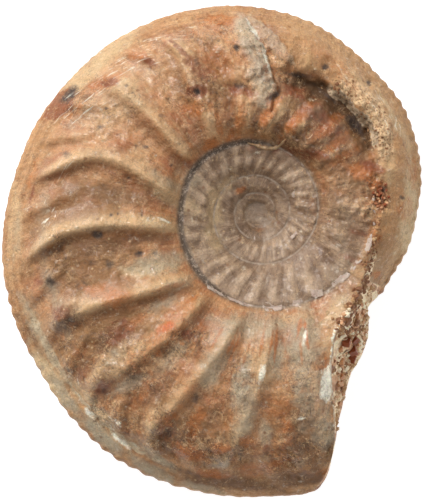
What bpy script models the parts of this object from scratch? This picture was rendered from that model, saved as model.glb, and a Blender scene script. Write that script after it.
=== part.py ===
"""A fossil ammonite of the cardioceras kind, lying on one flank.

The fossil is one solid of stone: a flat coil whose whorl grows by the same factor
in each turn, with forward-bent ribs, a toothed keel around the outside, the steps
of the inner whorls in the umbilicus, and a broken end that shows the calcite
crystals inside. It is built as two flanks joined along the keel. Every point is
placed by its growth angle along the coil and its distance across the whorl.

Growth angles are in degrees, counted the way the coil grows, from -34 at the start
of the last whorl to 326 at its broken end. The inner whorls have smaller angles.
"""
import math

import bmesh
import bpy
import numpy as np
from mathutils import Matrix, Vector

MM = 0.001
TURN = 360.0

# The coil: a logarithmic spiral
CENTRE = (5.45 * MM, 4.45 * MM)
GROWTH = 0.1005
THICKNESS_GROWTH = 0.08
SEAM_RADIUS = 7.12 * MM
HALF_THICKNESS = 5.25 * MM
FULL_HEIGHT = 14.1 * MM
LAST_START = -34.0
LAST_END = LAST_START + TURN
INNER_TURNS = 3

# How the fossil lies: the middle plane leans, and what reaches the ground is worn flat
MIDDLE_HEIGHT = 7.64 * MM
LEAN_X = -0.008
LEAN_Y = -0.047

# The outline along the keel and the broken end: growth angle, radius in mm
OUTLINE = [
    (-34, 17.6), (-22, 17.8), (-12, 18.3), (0, 18.85), (12, 19.8), (24, 20.6),
    (36, 21.4), (48, 21.75), (60, 22.4), (72, 23.4), (84, 24.1), (96, 24.8),
    (108, 25.4), (120, 26.05), (132, 26.75), (144, 27.3), (156, 28.2), (168, 28.9),
    (180, 29.9), (192, 30.85), (204, 31.45), (216, 31.85), (228, 32.75), (240, 33.5),
    (258, 33.7), (272, 33.6), (280, 33.7), (284, 33.1), (288, 29.9), (291, 27.2),
    (296, 24.2), (300, 22.5), (306, 21.3), (311, 20.2), (316, 18.7), (320, 17.5),
    (326, 17.6),
]

# The section of the whorl: share of its height from seam to keel, share of thickness
SECTION = [
    (0.0, 0.67), (0.05, 0.75), (0.12, 0.88), (0.2, 0.97), (0.3, 1.0), (0.42, 1.0),
    (0.55, 0.95), (0.7, 0.82), (0.82, 0.64), (0.9, 0.47), (0.95, 0.34), (1.0, 0.17),
]
INNER_SHARE = 0.4
HUB_LEVEL = 0.85
HUB_OFFSET = 0.15 * MM

# Ribs of the flank: growth angle near the seam, half-way out and at the shoulder, then
# the height in mm. A reach is where along the share of height a form starts to rise,
# is whole, starts to fade and is gone
FLANK_RIBS = [
    (-28, -32, -33, 0.45), (-13, -18.5, -19, 0.5), (7, 2, 0, 0.55), (24, 19, 18, 0.4),
    (40, 35, 33, 0.45), (56, 47.5, 45, 0.5), (70, 61, 57, 0.6), (87, 76, 72, 0.6),
    (102, 98, 104, 0.55), (121.5, 117, 116.5, 0.75), (142, 138, 139.5, 0.85),
    (169, 160, 168, 0.95), (190, 184.5, 189, 1.0), (223, 212, 208.5, 1.0),
    (237, 232, 226, 0.95), (261, 250, 243.5, 0.95), (277, 269.5, 262, 0.9),
    (293, 288, 287, 0.7), (316, 313, 312, 0.35),
]
FLANK_RIB_WIDTH = 1.45 * MM
FLANK_RIB_REACH = (-0.02, 0.12, 0.72, 0.9)
RIB_NEAR, RIB_FAR = 0.05, 0.8

# Ribs of the shoulder, which double the number: growth angles at the shoulder
SHOULDER_RIBS = [
    107, 116.5, 126, 137, 147, 158, 168.5, 178, 189, 198.5, 208.5, 217.5, 226, 235,
    244, 253, 262, 271, 279,
]
SHOULDER_AT = 0.78
SHOULDER_BEND = 24.0
SHOULDER_RIB_HEIGHT = 0.5 * MM
SHOULDER_RIB_WIDTH = 0.95 * MM
SHOULDER_RIB_REACH = (0.56, 0.74, 0.86, 0.95)

# Ribs of the inner whorls
INNER_RIB_STEP = 13.0
INNER_RIB_HEIGHT = 0.035
INNER_RIB_LAG, INNER_RIB_LEAD = 9.0, 4.0
INNER_RIB_REACH = (0.05, 0.3, 0.85, 1.0)

# The keel and the groove beside it
KEEL_TOOTH = 0.18 * MM
TOOTH_SHARE = [(-34, 0.7), (80, 0.8), (110, 0.35), (190, 0.4), (206, 1.0), (282, 1.0)]
KEEL_BULGE = 0.35 * MM
BROKEN_BULGE = 0.17 * MM
GROOVE_ARC = (196, 214, 276, 283)
GROOVE_DEPTH = 0.3 * MM
GROOVE_INSET = 2.1 * MM
GROOVE_WIDTH = 0.7 * MM

# The band that the lost outer whorl left on the older flank, from its inner edge out
BAND_EDGE = [(-34, 0.56), (0, 0.6), (24, 0.6), (34, 0.63), (70, 0.66), (84, 0.6)]
BAND_ARC_END = (78, 88)
BAND_HEIGHT = 0.9 * MM
BAND_STEP = 0.05
BAND_AT_KEEL = 0.2
CRUMB_HEIGHT = 0.35 * MM
CRUMB_SIZE = 1.9 * MM
CRUMB_FADE = (0.84, 0.97)

# The dark hollow under that band
HOLLOW_ARC = (26, 42, 67, 83)
HOLLOW_MIDDLE = [(26, 0.57), (45, 0.59), (60, 0.585), (72, 0.56), (83, 0.51)]
HOLLOW_WIDTH_IN = 0.1
HOLLOW_WIDTH_OUT = 0.055
HOLLOW_DEPTH = 1.9 * MM

# The pale vein across the top: growth angle, share of height, half its width in mm
VEIN = [
    (94.5, 0.95, 0.9), (92.5, 0.8, 1.2), (90.5, 0.66, 1.45), (88, 0.5, 1.6),
    (86.5, 0.36, 1.6), (88, 0.25, 1.0),
]
VEIN_HEIGHT = 1.2 * MM
VEIN_REACH = (0.18, 0.3, 0.9, 0.99)
VEIN_FLAT, VEIN_FOOT = 0.6, 1.3

# The broken end: where the flank stops, as growth angle and radius in mm
BREAK_LINE = [
    (280, 34.5), (285, 31.5), (288, 28.6), (291, 24.6), (294, 20.8), (300, 17.4),
    (306, 16.4), (312, 15.8), (320, 15.4), (330, 14.9), (342, 14.4), (352, 14.2),
]
BREAK_START = (278, 285)
BREAK_LEAST = 1.2 * MM
BREAK_LEVEL = -0.35
BREAK_UNDER = 0.6
BREAK_LUMP = 0.5 * MM
BREAK_LUMP_SIZE = 2.2 * MM
UNBROKEN_HEIGHT = (268, 282)
REMNANT_ARC = 26.0

# Calcite crystals on the broken face: growth angle, radius and size in mm, turn
CRYSTALS = [
    (304.3, 18.6, 1.15, 20), (307.6, 19.3, 1.0, 75), (304.6, 20.1, 1.2, 50),
    (302.4, 21.2, 1.1, 10), (299.2, 20.3, 1.0, 35), (310.8, 17.7, 0.95, 60),
    (297.2, 22.0, 0.9, 80), (301.0, 18.9, 0.85, 45), (313.5, 17.0, 0.8, 15),
]
CRYSTAL_SHEAR = 0.3
CRYSTAL_TILT = 50.0

# Mesh: steps around and across
OUTER_COLUMNS = 208
INNER_COLUMNS = 104
LOWER_ROWS = 5
UPPER_ROWS = 6
INNER_ROWS = (LOWER_ROWS, 3, 2)
ROW_SQUEEZE = (236, 290)
UNDER_ROWS = (4, 4)
UNDER_INNER_ROWS = (4, 2, 1)

STONE_COLOUR = (0.5, 0.31, 0.15, 1.0)


def between(x, points):
    """A smooth curve through (x, y) points, flat beyond its ends."""
    px = np.array([p[0] for p in points], float)
    py = np.array([p[1] for p in points], float)
    x = np.clip(np.asarray(x, float), px[0], px[-1])
    step = np.diff(px)
    rise = np.diff(py) / step
    slope = np.concatenate([[rise[0]], (rise[:-1] + rise[1:]) / 2, [rise[-1]]])
    turns = np.concatenate([[False], rise[:-1] * rise[1:] <= 0, [False]])
    slope[turns] = 0.0
    i = np.clip(np.searchsorted(px, x, side="right") - 1, 0, len(step) - 1)
    t = (x - px[i]) / step[i]
    return (
        py[i] * (1 + 2 * t) * (1 - t) ** 2 + slope[i] * step[i] * t * (1 - t) ** 2
        + py[i + 1] * t * t * (3 - 2 * t) + slope[i + 1] * step[i] * t * t * (t - 1)
    )


def ease(x, low, high):
    """0 below low, 1 above high, smooth between."""
    t = np.clip((x - low) / (high - low), 0.0, 1.0)
    return t * t * (3 - 2 * t)


def plateau(x, reach):
    """Rises to 1 and falls again, by the four values of a reach."""
    rise, whole, fade, gone = reach
    return ease(x, rise, whole) * (1 - ease(x, fade, gone))


def bump(x, width):
    return np.exp(-((x / width) ** 2))


def seam_radius(angle):
    """Distance from the centre to the whorl's inner edge."""
    return SEAM_RADIUS * np.exp(GROWTH * np.radians(angle))


def half_thickness(angle):
    return HALF_THICKNESS * np.exp(THICKNESS_GROWTH * np.radians(angle))


def lumps(x, y, z, size, seed):
    """Uneven lumps of about one size, between -1 and 1."""
    rng = np.random.default_rng(seed)
    total = 0.0
    for _ in range(14):
        d = rng.normal(size=3)
        d *= rng.uniform(0.7, 1.5) * math.tau / (size * np.linalg.norm(d))
        total = total + np.sin(x * d[0] + y * d[1] + z * d[2] + rng.uniform(0, math.tau))
    return total / 5.3


def outline_radius(angle):
    return between(angle, OUTLINE) * MM


def keel_tooth(angle):
    """How far a tooth of the keel stands out, or the notch beside it goes in."""
    wave = math.cos(math.pi * (angle - LAST_START) * OUTER_COLUMNS / TURN)
    return -KEEL_TOOTH * float(between(angle, TOOTH_SHARE)) * wave


def flat_point(angle, radius):
    a = np.radians(angle)
    return CENTRE[0] + radius * np.cos(a), CENTRE[1] + radius * np.sin(a)


def rib_relief(angle, radius, share):
    """Height of the flank's and the shoulder's ribs on the last whorl."""
    relief = 0.0
    reach = plateau(share, FLANK_RIB_REACH)
    t = (share - RIB_NEAR) / (RIB_FAR - RIB_NEAR)
    for near, mid, far, height in FLANK_RIBS:
        path = near + (4 * mid - 3 * near - far) * t + (2 * near + 2 * far - 4 * mid) * t * t
        gap = np.radians(angle - path) * radius
        relief = relief + height * MM * bump(gap, FLANK_RIB_WIDTH) * reach
    reach = plateau(share, SHOULDER_RIB_REACH)
    for crest in SHOULDER_RIBS:
        path = crest + SHOULDER_BEND * (share - SHOULDER_AT)
        gap = np.radians(angle - path) * radius
        relief = relief + SHOULDER_RIB_HEIGHT * bump(gap, SHOULDER_RIB_WIDTH) * reach
    return relief


def whorl(angle, radius, side):
    """Height of the last whorl's flank above the middle plane, ribs and all."""
    seam = seam_radius(angle)
    edge = outline_radius(angle)
    half = half_thickness(angle)
    unbroken = FULL_HEIGHT / SEAM_RADIUS * seam
    height = edge - seam + (unbroken - edge + seam) * ease(angle, *UNBROKEN_HEIGHT)
    across = (radius - seam) / height
    surface = half * between(across, SECTION) + rib_relief(angle, radius, across)
    groove = bump(edge - radius - GROOVE_INSET, GROOVE_WIDTH) * plateau(angle, GROOVE_ARC)
    surface = surface - GROOVE_DEPTH * groove
    # Past the break line the surface is the broken face, which slopes out and down
    line = between(angle, BREAK_LINE) * MM
    past = np.clip((radius - line) / np.maximum(edge - line, BREAK_LEAST), 0.0, 1.0)
    past = past * ease(angle, *BREAK_START)
    if side < 0:
        return surface + (BREAK_UNDER * half - surface) * past ** 2
    x, y = flat_point(angle, radius)
    rough = BREAK_LUMP * lumps(x, y, surface, BREAK_LUMP_SIZE, 7) * 4 * past * (1 - past)
    return surface + (BREAK_LEVEL * half - surface) * past + rough


def old_flank(angle, radius, share, side):
    """The older part of the whorl, with what the lost outer whorl left on it."""
    surface = whorl(angle, radius, side)
    x, y = flat_point(angle, radius)
    left = 1 - ease(angle, *BAND_ARC_END)
    edge = between(angle, BAND_EDGE)
    band = ease(share, edge - BAND_STEP, edge + BAND_STEP)
    band = band * (1 - (1 - BAND_AT_KEEL) * ease(share, *CRUMB_FADE))
    crumbs = ease(share, edge - BAND_STEP, edge + BAND_STEP) * (1 - ease(share, *CRUMB_FADE))
    rough = crumbs * lumps(x, y, surface, CRUMB_SIZE, 3)
    surface = surface + left * (BAND_HEIGHT * band + CRUMB_HEIGHT * rough)
    if side < 0:
        return surface
    off = share - between(angle, HOLLOW_MIDDLE)
    hollow = bump(off, np.where(off < 0, HOLLOW_WIDTH_IN, HOLLOW_WIDTH_OUT))
    return surface - HOLLOW_DEPTH * hollow * plateau(angle, HOLLOW_ARC)


def vein_relief(angle, radius, share):
    """The pale vein that stands on the flank at the top."""
    order = sorted(VEIN, key=lambda p: p[1])
    centre = between(share, [(p[1], p[0]) for p in order])
    half = between(share, [(p[1], p[2]) for p in order]) * MM
    gap = np.abs(np.radians(angle - centre) * radius)
    profile = 1 - ease(gap, VEIN_FLAT * half, VEIN_FOOT * half)
    return VEIN_HEIGHT * profile * plateau(share, VEIN_REACH)


def last_flank(angle, radius, side):
    """Height of the last whorl above the middle plane at any of its growth angles."""
    seam = seam_radius(angle)
    share = np.clip((radius - seam) / (outline_radius(angle) - seam), 0.0, 1.0)
    surface = old_flank(angle, radius, share, side)
    if side > 0:
        surface = surface + vein_relief(angle, radius, share)
    # Near its start it still has the form of the inner whorls, and the rest of the
    # broken whorl runs on over it and thins out
    later = angle + TURN
    former = seam_radius(later)
    bare = inner_flank(angle, np.clip((radius - seam) / (former - seam), 0.0, 1.0))
    rest = whorl(later, np.maximum(radius, former), side)
    start = np.where(radius > former, rest, bare)
    blend = ease(angle, LAST_START, LAST_START + REMNANT_ARC)
    return start * (1 - blend) + surface * blend


def inner_flank(angle, share):
    """Height of an inner whorl, of which the next whorl leaves a part bare."""
    half = half_thickness(angle)
    start = SECTION[0][1]
    end = start * math.exp(THICKNESS_GROWTH * math.tau)
    level = between(share * INNER_SHARE, SECTION)
    level = level + (end - between(INNER_SHARE, SECTION)) * ease(share, 0.5, 1.0)
    path = angle - INNER_RIB_LAG * (1 - share) ** 2 + INNER_RIB_LEAD * share
    crest = (np.cos(math.tau * path / INNER_RIB_STEP) * 0.5 + 0.5) ** 1.5
    return half * (level + INNER_RIB_HEIGHT * crest * plateau(share, INNER_RIB_REACH))


def middle(x, y):
    return MIDDLE_HEIGHT + LEAN_X * x + LEAN_Y * y


def stitch(a, b, spots, faces, reach=None):
    """Fill the strip between two rows of points with triangles.

    The rows are walked together by how far along they are: by reach, where it is
    given, or else by count. Between points that are level the shorter cut is taken.
    """
    at_a = [reach(spots[k]) for k in a] if reach else np.linspace(0, 1, len(a))
    at_b = [reach(spots[k]) for k in b] if reach else np.linspace(0, 1, len(b))
    i = j = 0
    while i < len(a) - 1 or j < len(b) - 1:
        if i == len(a) - 1:
            step_a = False
        elif j == len(b) - 1:
            step_a = True
        else:
            ahead = at_a[i] + at_a[i + 1] - at_b[j] - at_b[j + 1]
            cut_a = (spots[a[i + 1]] - spots[b[j]]).length
            cut_b = (spots[a[i]] - spots[b[j + 1]]).length
            step_a = cut_a < cut_b if abs(ahead) < 1e-9 else ahead < 0
        if step_a:
            faces.append((a[i], a[i + 1], b[j]))
            i += 1
        else:
            faces.append((a[i], b[j + 1], b[j]))
            j += 1


def from_centre(spot):
    return math.hypot(spot.x - CENTRE[0], spot.y - CENTRE[1])


def add_point(spots, angle, radius, surface, side):
    x, y = flat_point(angle, radius)
    z = middle(x, y) + side * surface
    spots.append(Vector((x, y, max(z, 0.0))))
    return len(spots) - 1


def build_flank(spots, side, columns, inner_columns, rows, inner_rows):
    """One flank's triangles, and the ring of points along its outline."""
    faces = []
    step = TURN / inner_columns
    turn_ends = INNER_TURNS * inner_columns

    # The seam between the whorls, one long spiral from the broken end to the centre
    seam = []
    for k in range(turn_ends + inner_columns + 1):
        angle = LAST_END - k * step
        level = half_thickness(angle) * SECTION[0][1]
        seam.append(add_point(spots, angle, seam_radius(angle), level, side))

    # The inner whorls, column by column towards the centre
    inner = []
    for k in range(turn_ends + 1):
        angle = LAST_START - k * step
        low = seam_radius(angle)
        high = seam_radius(angle + TURN)
        count = inner_rows[min(k // inner_columns, INNER_TURNS - 1)]
        column = [seam[k + inner_columns]]
        for share in np.linspace(0, 1, count + 1)[1:-1]:
            radius = low + (high - low) * share
            column.append(add_point(spots, angle, radius, inner_flank(angle, share), side))
        inner.append(column + [seam[k]])
    for k in range(turn_ends):
        stitch(inner[k + 1], inner[k], spots, faces)

    # The first coil at the centre, closed by a fan
    x, y = flat_point(LAST_START - 90, HUB_OFFSET)
    level = half_thickness(LAST_START - INNER_TURNS * TURN) * HUB_LEVEL
    spots.append(Vector((x, y, middle(x, y) + side * level)))
    hub = len(spots) - 1
    rim = seam[turn_ends:] + inner[-1][1:]
    faces += [(hub, b, a) for a, b in zip(rim, rim[1:])]

    # The last whorl, column by column to the broken end
    lower, upper = rows
    outer = []
    for i in range(1, columns + 1):
        angle = LAST_START + i * TURN / columns
        low = seam_radius(angle)
        high = float(outline_radius(angle)) + keel_tooth(angle)
        squeeze = float(ease(angle, *ROW_SQUEEZE))
        knee = seam_radius(angle + TURN) * (1 - squeeze)
        knee += (low + (high - low) * lower / (lower + upper)) * squeeze
        radii = np.concatenate([
            np.linspace(low, knee, lower + 1)[1:], np.linspace(knee, high, upper + 1)[1:],
        ])
        heights = last_flank(np.full(len(radii), angle), radii, side)
        outer.append([add_point(spots, angle, r, h, side) for r, h in zip(radii, heights)])
    start = inner[0] + outer[-1]
    stitch(start[1:], outer[0], spots, faces, from_centre)
    for a, b in zip(outer, outer[1:]):
        stitch(a, b, spots, faces)
    stitch([start[1]] + [column[0] for column in outer], seam[inner_columns::-1], spots, faces)
    if side < 0:
        faces = [face[::-1] for face in faces]
    return faces, [column[-1] for column in outer]


def build_body():
    """The whole coil: both flanks and the narrow face of the keel between them."""
    spots = []
    top, top_ring = build_flank(
        spots, 1, OUTER_COLUMNS, INNER_COLUMNS, (LOWER_ROWS, UPPER_ROWS), INNER_ROWS
    )
    under, under_ring = build_flank(
        spots, -1, OUTER_COLUMNS // 2, INNER_COLUMNS // 2, UNDER_ROWS, UNDER_INNER_ROWS
    )
    keel = []
    for i, k in enumerate(top_ring):
        angle = LAST_START + (i + 1) * TURN / OUTER_COLUMNS
        below = under_ring[(i - 1) // 2]
        bulge = KEEL_BULGE + (BROKEN_BULGE - KEEL_BULGE) * float(ease(angle, *BREAK_START))
        a = math.radians(angle)
        spot = spots[k].copy()
        spot.x += bulge * math.cos(a)
        spot.y += bulge * math.sin(a)
        spot.z = (spots[k].z + spots[below].z) / 2
        spots.append(spot)
        keel.append(len(spots) - 1)
    faces = top + under
    stitch(keel + keel[:1], top_ring + top_ring[:1], spots, faces)
    stitch(under_ring + under_ring[:1], keel[1:] + keel[:2], spots, faces)

    mesh = bpy.data.meshes.new("ammonite")
    mesh.from_pydata([tuple(p) for p in spots], [], faces)
    mesh.validate()
    return mesh


def stone():
    material = bpy.data.materials.new("stone")
    material.use_nodes = True
    shader = material.node_tree.nodes["Principled BSDF"]
    shader.inputs["Base Color"].default_value = STONE_COLOUR
    shader.inputs["Roughness"].default_value = 0.4
    shader.inputs["Metallic"].default_value = 0.0
    return material


def build_crystals():
    """Blunt rhombs of calcite, half sunk in the broken face."""
    shape = bmesh.new()
    for angle, radius, size, turn in CRYSTALS:
        x, y = flat_point(angle, radius * MM)
        level = last_flank(np.array([angle]), np.array([radius * MM]), 1)[0]
        lean = CRYSTAL_SHEAR
        shear = Matrix(((1, lean, lean), (0, 1, lean), (0, 0, 1))).to_4x4()
        place = Matrix.Translation((x, y, middle(x, y) + level))
        spin = Matrix.Rotation(math.radians(angle + turn), 4, "Z")
        tilt = Matrix.Rotation(math.radians(CRYSTAL_TILT), 4, "Y")
        bmesh.ops.create_cube(shape, size=size * MM, matrix=place @ spin @ tilt @ shear)
    mesh = bpy.data.meshes.new("crystals")
    shape.to_mesh(mesh)
    shape.free()
    return mesh


for item in list(bpy.data.objects):
    bpy.data.objects.remove(item, do_unlink=True)

ammonite = bpy.data.objects.new("ammonite", build_body())
ammonite.data.materials.append(stone())
bpy.context.scene.collection.objects.link(ammonite)

crystals = bpy.data.objects.new("crystals", build_crystals())
crystals.hide_render = True
crystals.display_type = "WIRE"
bpy.context.scene.collection.objects.link(crystals)

grown_on = ammonite.modifiers.new("crystals", "BOOLEAN")
grown_on.operation = "UNION"
grown_on.solver = "EXACT"
grown_on.use_self = True
grown_on.object = crystals
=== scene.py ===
"""The looks of a fossil ammonite of the cardioceras kind, lying on one flank.

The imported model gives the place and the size. The stone is made again over it at a
finer grain, from the same growth curve, and then the crystals, the crumbs and the
flakes of old shell that are on it. Lengths are in mm until a mesh is made. Growth
angles are in degrees along the coil, from -34 at the start of the last whorl to 326
at its broken end, and the inner whorls have smaller angles.
"""
import math

import bmesh
import bpy
import numpy as np
from mathutils import Matrix, Vector


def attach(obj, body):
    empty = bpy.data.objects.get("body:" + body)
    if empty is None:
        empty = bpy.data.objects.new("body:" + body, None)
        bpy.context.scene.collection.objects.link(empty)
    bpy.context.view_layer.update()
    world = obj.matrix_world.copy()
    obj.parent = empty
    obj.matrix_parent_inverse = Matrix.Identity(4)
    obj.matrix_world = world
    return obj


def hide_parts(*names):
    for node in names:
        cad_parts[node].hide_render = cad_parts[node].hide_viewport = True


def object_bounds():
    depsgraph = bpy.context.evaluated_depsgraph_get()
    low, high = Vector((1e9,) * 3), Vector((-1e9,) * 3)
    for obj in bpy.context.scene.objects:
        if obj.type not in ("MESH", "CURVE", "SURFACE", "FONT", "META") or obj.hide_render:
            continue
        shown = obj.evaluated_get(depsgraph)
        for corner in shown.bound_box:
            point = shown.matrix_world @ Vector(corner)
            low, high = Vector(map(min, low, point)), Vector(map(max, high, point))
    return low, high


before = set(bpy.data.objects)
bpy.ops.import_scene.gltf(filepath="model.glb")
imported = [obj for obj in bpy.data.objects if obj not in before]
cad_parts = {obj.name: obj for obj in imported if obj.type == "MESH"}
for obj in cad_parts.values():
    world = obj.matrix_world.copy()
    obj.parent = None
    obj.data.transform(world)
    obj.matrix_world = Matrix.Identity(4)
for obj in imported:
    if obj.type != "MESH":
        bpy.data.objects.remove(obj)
cad_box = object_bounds()


# The stone coil
# One piece of stone: the filling of the shell, hardened in the ground, with the shell's
# inside printed on it as ribs, keel and seams, and waxy from polishing.
MM = 0.001
TURN = 360.0
CENTRE = (5.45, 4.45)
GROWTH = 0.1005
THICKNESS_GROWTH = 0.08
SEAM_RADIUS = 7.12
# Where the last whorl's seam leaves its even spiral: growth angle, share of the radius
SEAM_DRIFT = [
    (120, 1.0), (143, 0.995), (168, 0.945), (203, 0.933), (234, 0.952), (276, 0.975), (310, 1.0),
]
HALF_THICKNESS = 5.25
FULL_HEIGHT = 14.1
LAST_START = -34.0
LAST_END = LAST_START + TURN
INNER_TURNS = 3
MIDDLE_HEIGHT = 7.64
LEAN_X, LEAN_Y = -0.008, -0.047

# The outline along the keel and the broken end: growth angle, radius
OUTLINE = [
    (-34, 17.6), (-22, 17.8), (-12, 18.3), (0, 18.85), (12, 19.8), (24, 20.6), (36, 21.4), (48, 21.75),
    (60, 22.4), (72, 23.4), (84, 24.1), (96, 24.8), (108, 25.4), (120, 26.05), (132, 26.75), (144, 27.3),
    (156, 28.2), (168, 28.9), (180, 29.9), (192, 30.85), (204, 31.45), (216, 31.85), (228, 32.75),
    (240, 33.5), (258, 33.7), (272, 33.6), (280, 33.7), (284, 33.1), (288, 29.9), (291, 27.2),
    (296, 24.2), (300, 22.5), (306, 21.3), (311, 20.2), (316, 18.7), (320, 17.5), (326, 17.6),
]

# The section of the whorl: share of its height from seam to keel, share of thickness
SECTION = [
    (0.0, 0.67), (0.05, 0.75), (0.12, 0.88), (0.2, 0.97), (0.3, 1.0), (0.42, 1.0), (0.55, 0.95),
    (0.7, 0.82), (0.82, 0.64), (0.9, 0.47), (0.95, 0.34), (1.0, 0.17),
]
INNER_SHARE = 0.4
HUB_LEVEL, HUB_OFFSET = 0.85, 0.15

# Ribs of the flank: growth angle near the seam, half-way out and at the shoulder, then
# the height. A reach says where along the share of height a form starts to rise, is
# whole, starts to fade and is gone
FLANK_RIBS = [
    (-28, -32, -33, 0.45), (-13, -18.5, -19, 0.5), (7, 2, 0, 0.55), (24, 19, 18, 0.4), (40, 35, 33, 0.45),
    (56, 47.5, 45, 0.5), (70, 61, 57, 0.6), (87, 76, 72, 0.6), (102, 98, 104, 0.55),
    (121.5, 117, 116.5, 0.75), (142, 138, 139.5, 0.85), (169, 160, 168, 0.95), (190, 184.5, 189, 1.0),
    (223, 212, 208.5, 1.0), (237, 232, 226, 0.9), (261, 250, 243.5, 0.75), (277, 269.5, 262, 0.65),
    (293, 288, 287, 0.6), (316, 313, 312, 0.3),
]
RIB_WIDTH_BEHIND, RIB_WIDTH_BEFORE = 1.9, 1.05
CREST_EDGE, CREST_WIDTH = 0.15, 0.42
# Where the painted shade on the forward side of each rib lies past its crest, and how wide it is
LEE_SHADE_AFTER, LEE_SHADE_WIDTH = 1.35, 1.0
FLANK_RIB_REACH = (-0.02, 0.12, 0.72, 0.9)
RIB_NEAR, RIB_FAR = 0.05, 0.8
SHOULDER_RIBS = [
    107, 116.5, 126, 137, 147, 158, 168.5, 178, 189, 198.5, 208.5, 217.5, 226, 235,
    244, 253, 262, 271, 279,
]
SHOULDER_AT, SHOULDER_BEND = 0.78, 24.0
SHOULDER_RIB_HEIGHT = 0.5
SHOULDER_WIDTH_BEHIND, SHOULDER_WIDTH_BEFORE = 1.15, 0.75
SHOULDER_RIB_REACH = (0.56, 0.74, 0.86, 0.95)
# How strong the painted shade beside the shoulder ribs is
SHOULDER_LEE_SHADE = 0.7
SWELL, SWELL_SHARE, SWELL_REACH, SWELL_ARC = 0.9, 0.2, 0.12, (20, 40, 100, 125)
INNER_RIB_STEP, INNER_RIB_HEIGHT = 13.0, 0.032
INNER_RIB_FADE = (-34 - 560, -34 - 300)
INNER_RIB_LAG, INNER_RIB_LEAD = 9.0, 4.0
INNER_RIB_REACH = (0.05, 0.3, 0.85, 1.0)
# The last of these says how strongly the inner ribs' crests are painted pale as a highlight
INNER_RIB_WAVER, INNER_RIB_SHARP, INNER_RIB_LEAST, INNER_CREST_HIGHLIGHT = 1.5, 1.3, 0.15, 0.8

# The keel: how far apart its teeth are and how far they stand out, by growth angle
TOOTH_STEP = [(-34, 1.35), (80, 1.45), (200, 1.6), (220, 1.8), (326, 1.9)]
TOOTH_HEIGHT = [
    (-34, 0.12), (70, 0.14), (95, 0.06), (120, 0.03), (188, 0.04), (204, 0.2), (238, 0.22), (256, 0.12),
    (272, 0.07), (290, 0.06),
]
TOOTH_UNEVEN = 0.5
TOOTH_OUT, TOOTH_IN = 1.4, 0.9
TOOTH_START, TOOTH_REACH, TOOTH_LEAN = 0.2, 1.15, 1.2
EDGE_UNEVEN = 0.05
KEEL_BULGE, BROKEN_BULGE = 0.35, 0.17
RIDGE_INSET, RIDGE_HEIGHT, RIDGE_WIDTH = 1.45, 0.16, 0.3
GROOVE_ARC = (196, 208, 240, 258)
GROOVE_DEPTH, GROOVE_INSET, GROOVE_WIDTH = 0.3, 2.1, 0.7

# What the lost outer whorl left on the older flank: the band, from its inner edge out
BAND_EDGE = [
    (-34, 0.56), (0, 0.6), (24, 0.62), (34, 0.66), (42, 0.69), (54, 0.655), (67, 0.65), (78, 0.6),
    (84, 0.57),
]
BAND_ARC_END = (78, 88)
BAND_HEIGHT, BAND_STEP, BAND_AT_KEEL = 0.9, 0.05, 0.2
CRUMB_HEIGHT, CRUMB_SIZE, CRUMB_FADE = 0.2, 2.3, (0.84, 0.97)
CRUMB_ARC, CRUMB_WORN = (22, 36, 76, 84), 0.3
PORE_ARC = (18, 28, 54, 63)
PORE_REACH = (-0.01, 0.02, 0.12, 0.22)
PORE_SIZES, PORE_WIDTHS = (0.8, 0.5), (0.36, 0.4)
PORE_DEPTH, SMALL_PORE = 0.35, 0.7
# Unevenness of the band's edge and between its pores, as layers of height, size, seed
BAND_RAGGED = [(0.012, 2.2, 19)]
CRUMBLE = [(0.12, 1.1, 11), (0.1, 0.6, 13)]

# The hollow under that band, which is also painted dark as shade
HOLLOW_ARC = (25, 34, 70, 84)
HOLLOW_MIDDLE = [
    (26, 0.58), (38, 0.615), (45, 0.605), (54, 0.59), (66, 0.58), (76, 0.525), (84, 0.49),
]
HOLLOW_REACH = (-0.17, -0.02, 0.0, 0.075)
WALL_ARC, WALL_REACH = (25, 34, 56, 64), (-0.005, 0.02, 0.055, 0.085)
HOLLOW_DEPTH = [(26, 1.2), (40, 1.7), (52, 1.35), (84, 1.2)]
HOLLOW_RAGGED = [(0.014, 2.6, 14), (0.008, 1.0, 15)]
HOLLOW_UNEVEN = [(0.14, 3.0, 16), (0.08, 1.1, 18)]

# The pale vein across the top: growth angle, share of height, half its width
VEIN = [
    (96, 0.95, 0.9), (94.5, 0.8, 1.35), (92, 0.66, 1.6), (89.5, 0.5, 1.75),
    (87.5, 0.36, 1.7), (88, 0.25, 1.1),
]
VEIN_HEIGHT, VEIN_REACH = 0.95, (0.18, 0.3, 0.9, 0.99)
VEIN_RAGGED = [(0.22, 2.4, 25), (0.12, 0.9, 26)]
VEIN_ROUGH = [(0.1, 2.6, 23), (0.04, 0.8, 24)]
# Right of it a second, lower tongue of the same
TONGUE = [(78.5, 0.64, 0.9), (83, 0.74, 1.25), (88.6, 0.85, 1.1), (92.5, 0.93, 0.7)]
TONGUE_HEIGHT, TONGUE_REACH = 0.4, (0.58, 0.68, 0.9, 0.98)
# How each falls off on its right side and on its left, in shares of half its width:
# the vein is steep on the right, where the angle is smaller
VEIN_FALLS, TONGUE_FALLS = ((0.75, 1.05), (-0.2, 1.5)), ((0.6, 1.05), (0.8, 2.2))

# The broken end: where the flank stops, as growth angle and radius
BREAK_LINE = [
    (280, 34.5), (285, 31.5), (288, 28.6), (291, 24.6), (294, 20.8), (300, 17.4), (306, 16.4),
    (312, 15.7), (320, 15.1), (330, 14.4), (342, 13.9), (352, 13.7),
]
BREAK_START, BREAK_LEAST = (278, 285), 1.2
BREAK_LEVEL, BREAK_UNDER = -0.35, 0.6
BREAK_LUMP, BREAK_LUMP_SIZE = 0.5, 2.2
BREAK_CLIFF, BREAK_WAVE = 0.55, 0.12
GRIT_SIZE, GRIT_HEIGHT, GRIT_WIDTH, GRIT_LEAST = 1.0, 0.7, 0.55, 0.4
GRIT_SAND, GRIT_SAND_SIZE = 0.22, 0.9
RIM_ARC, RIM_INSET, RIM_WIDTH, RIM_STRENGTH = (287, 292, 303, 308), 0.15, 0.4, 0.8
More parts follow.
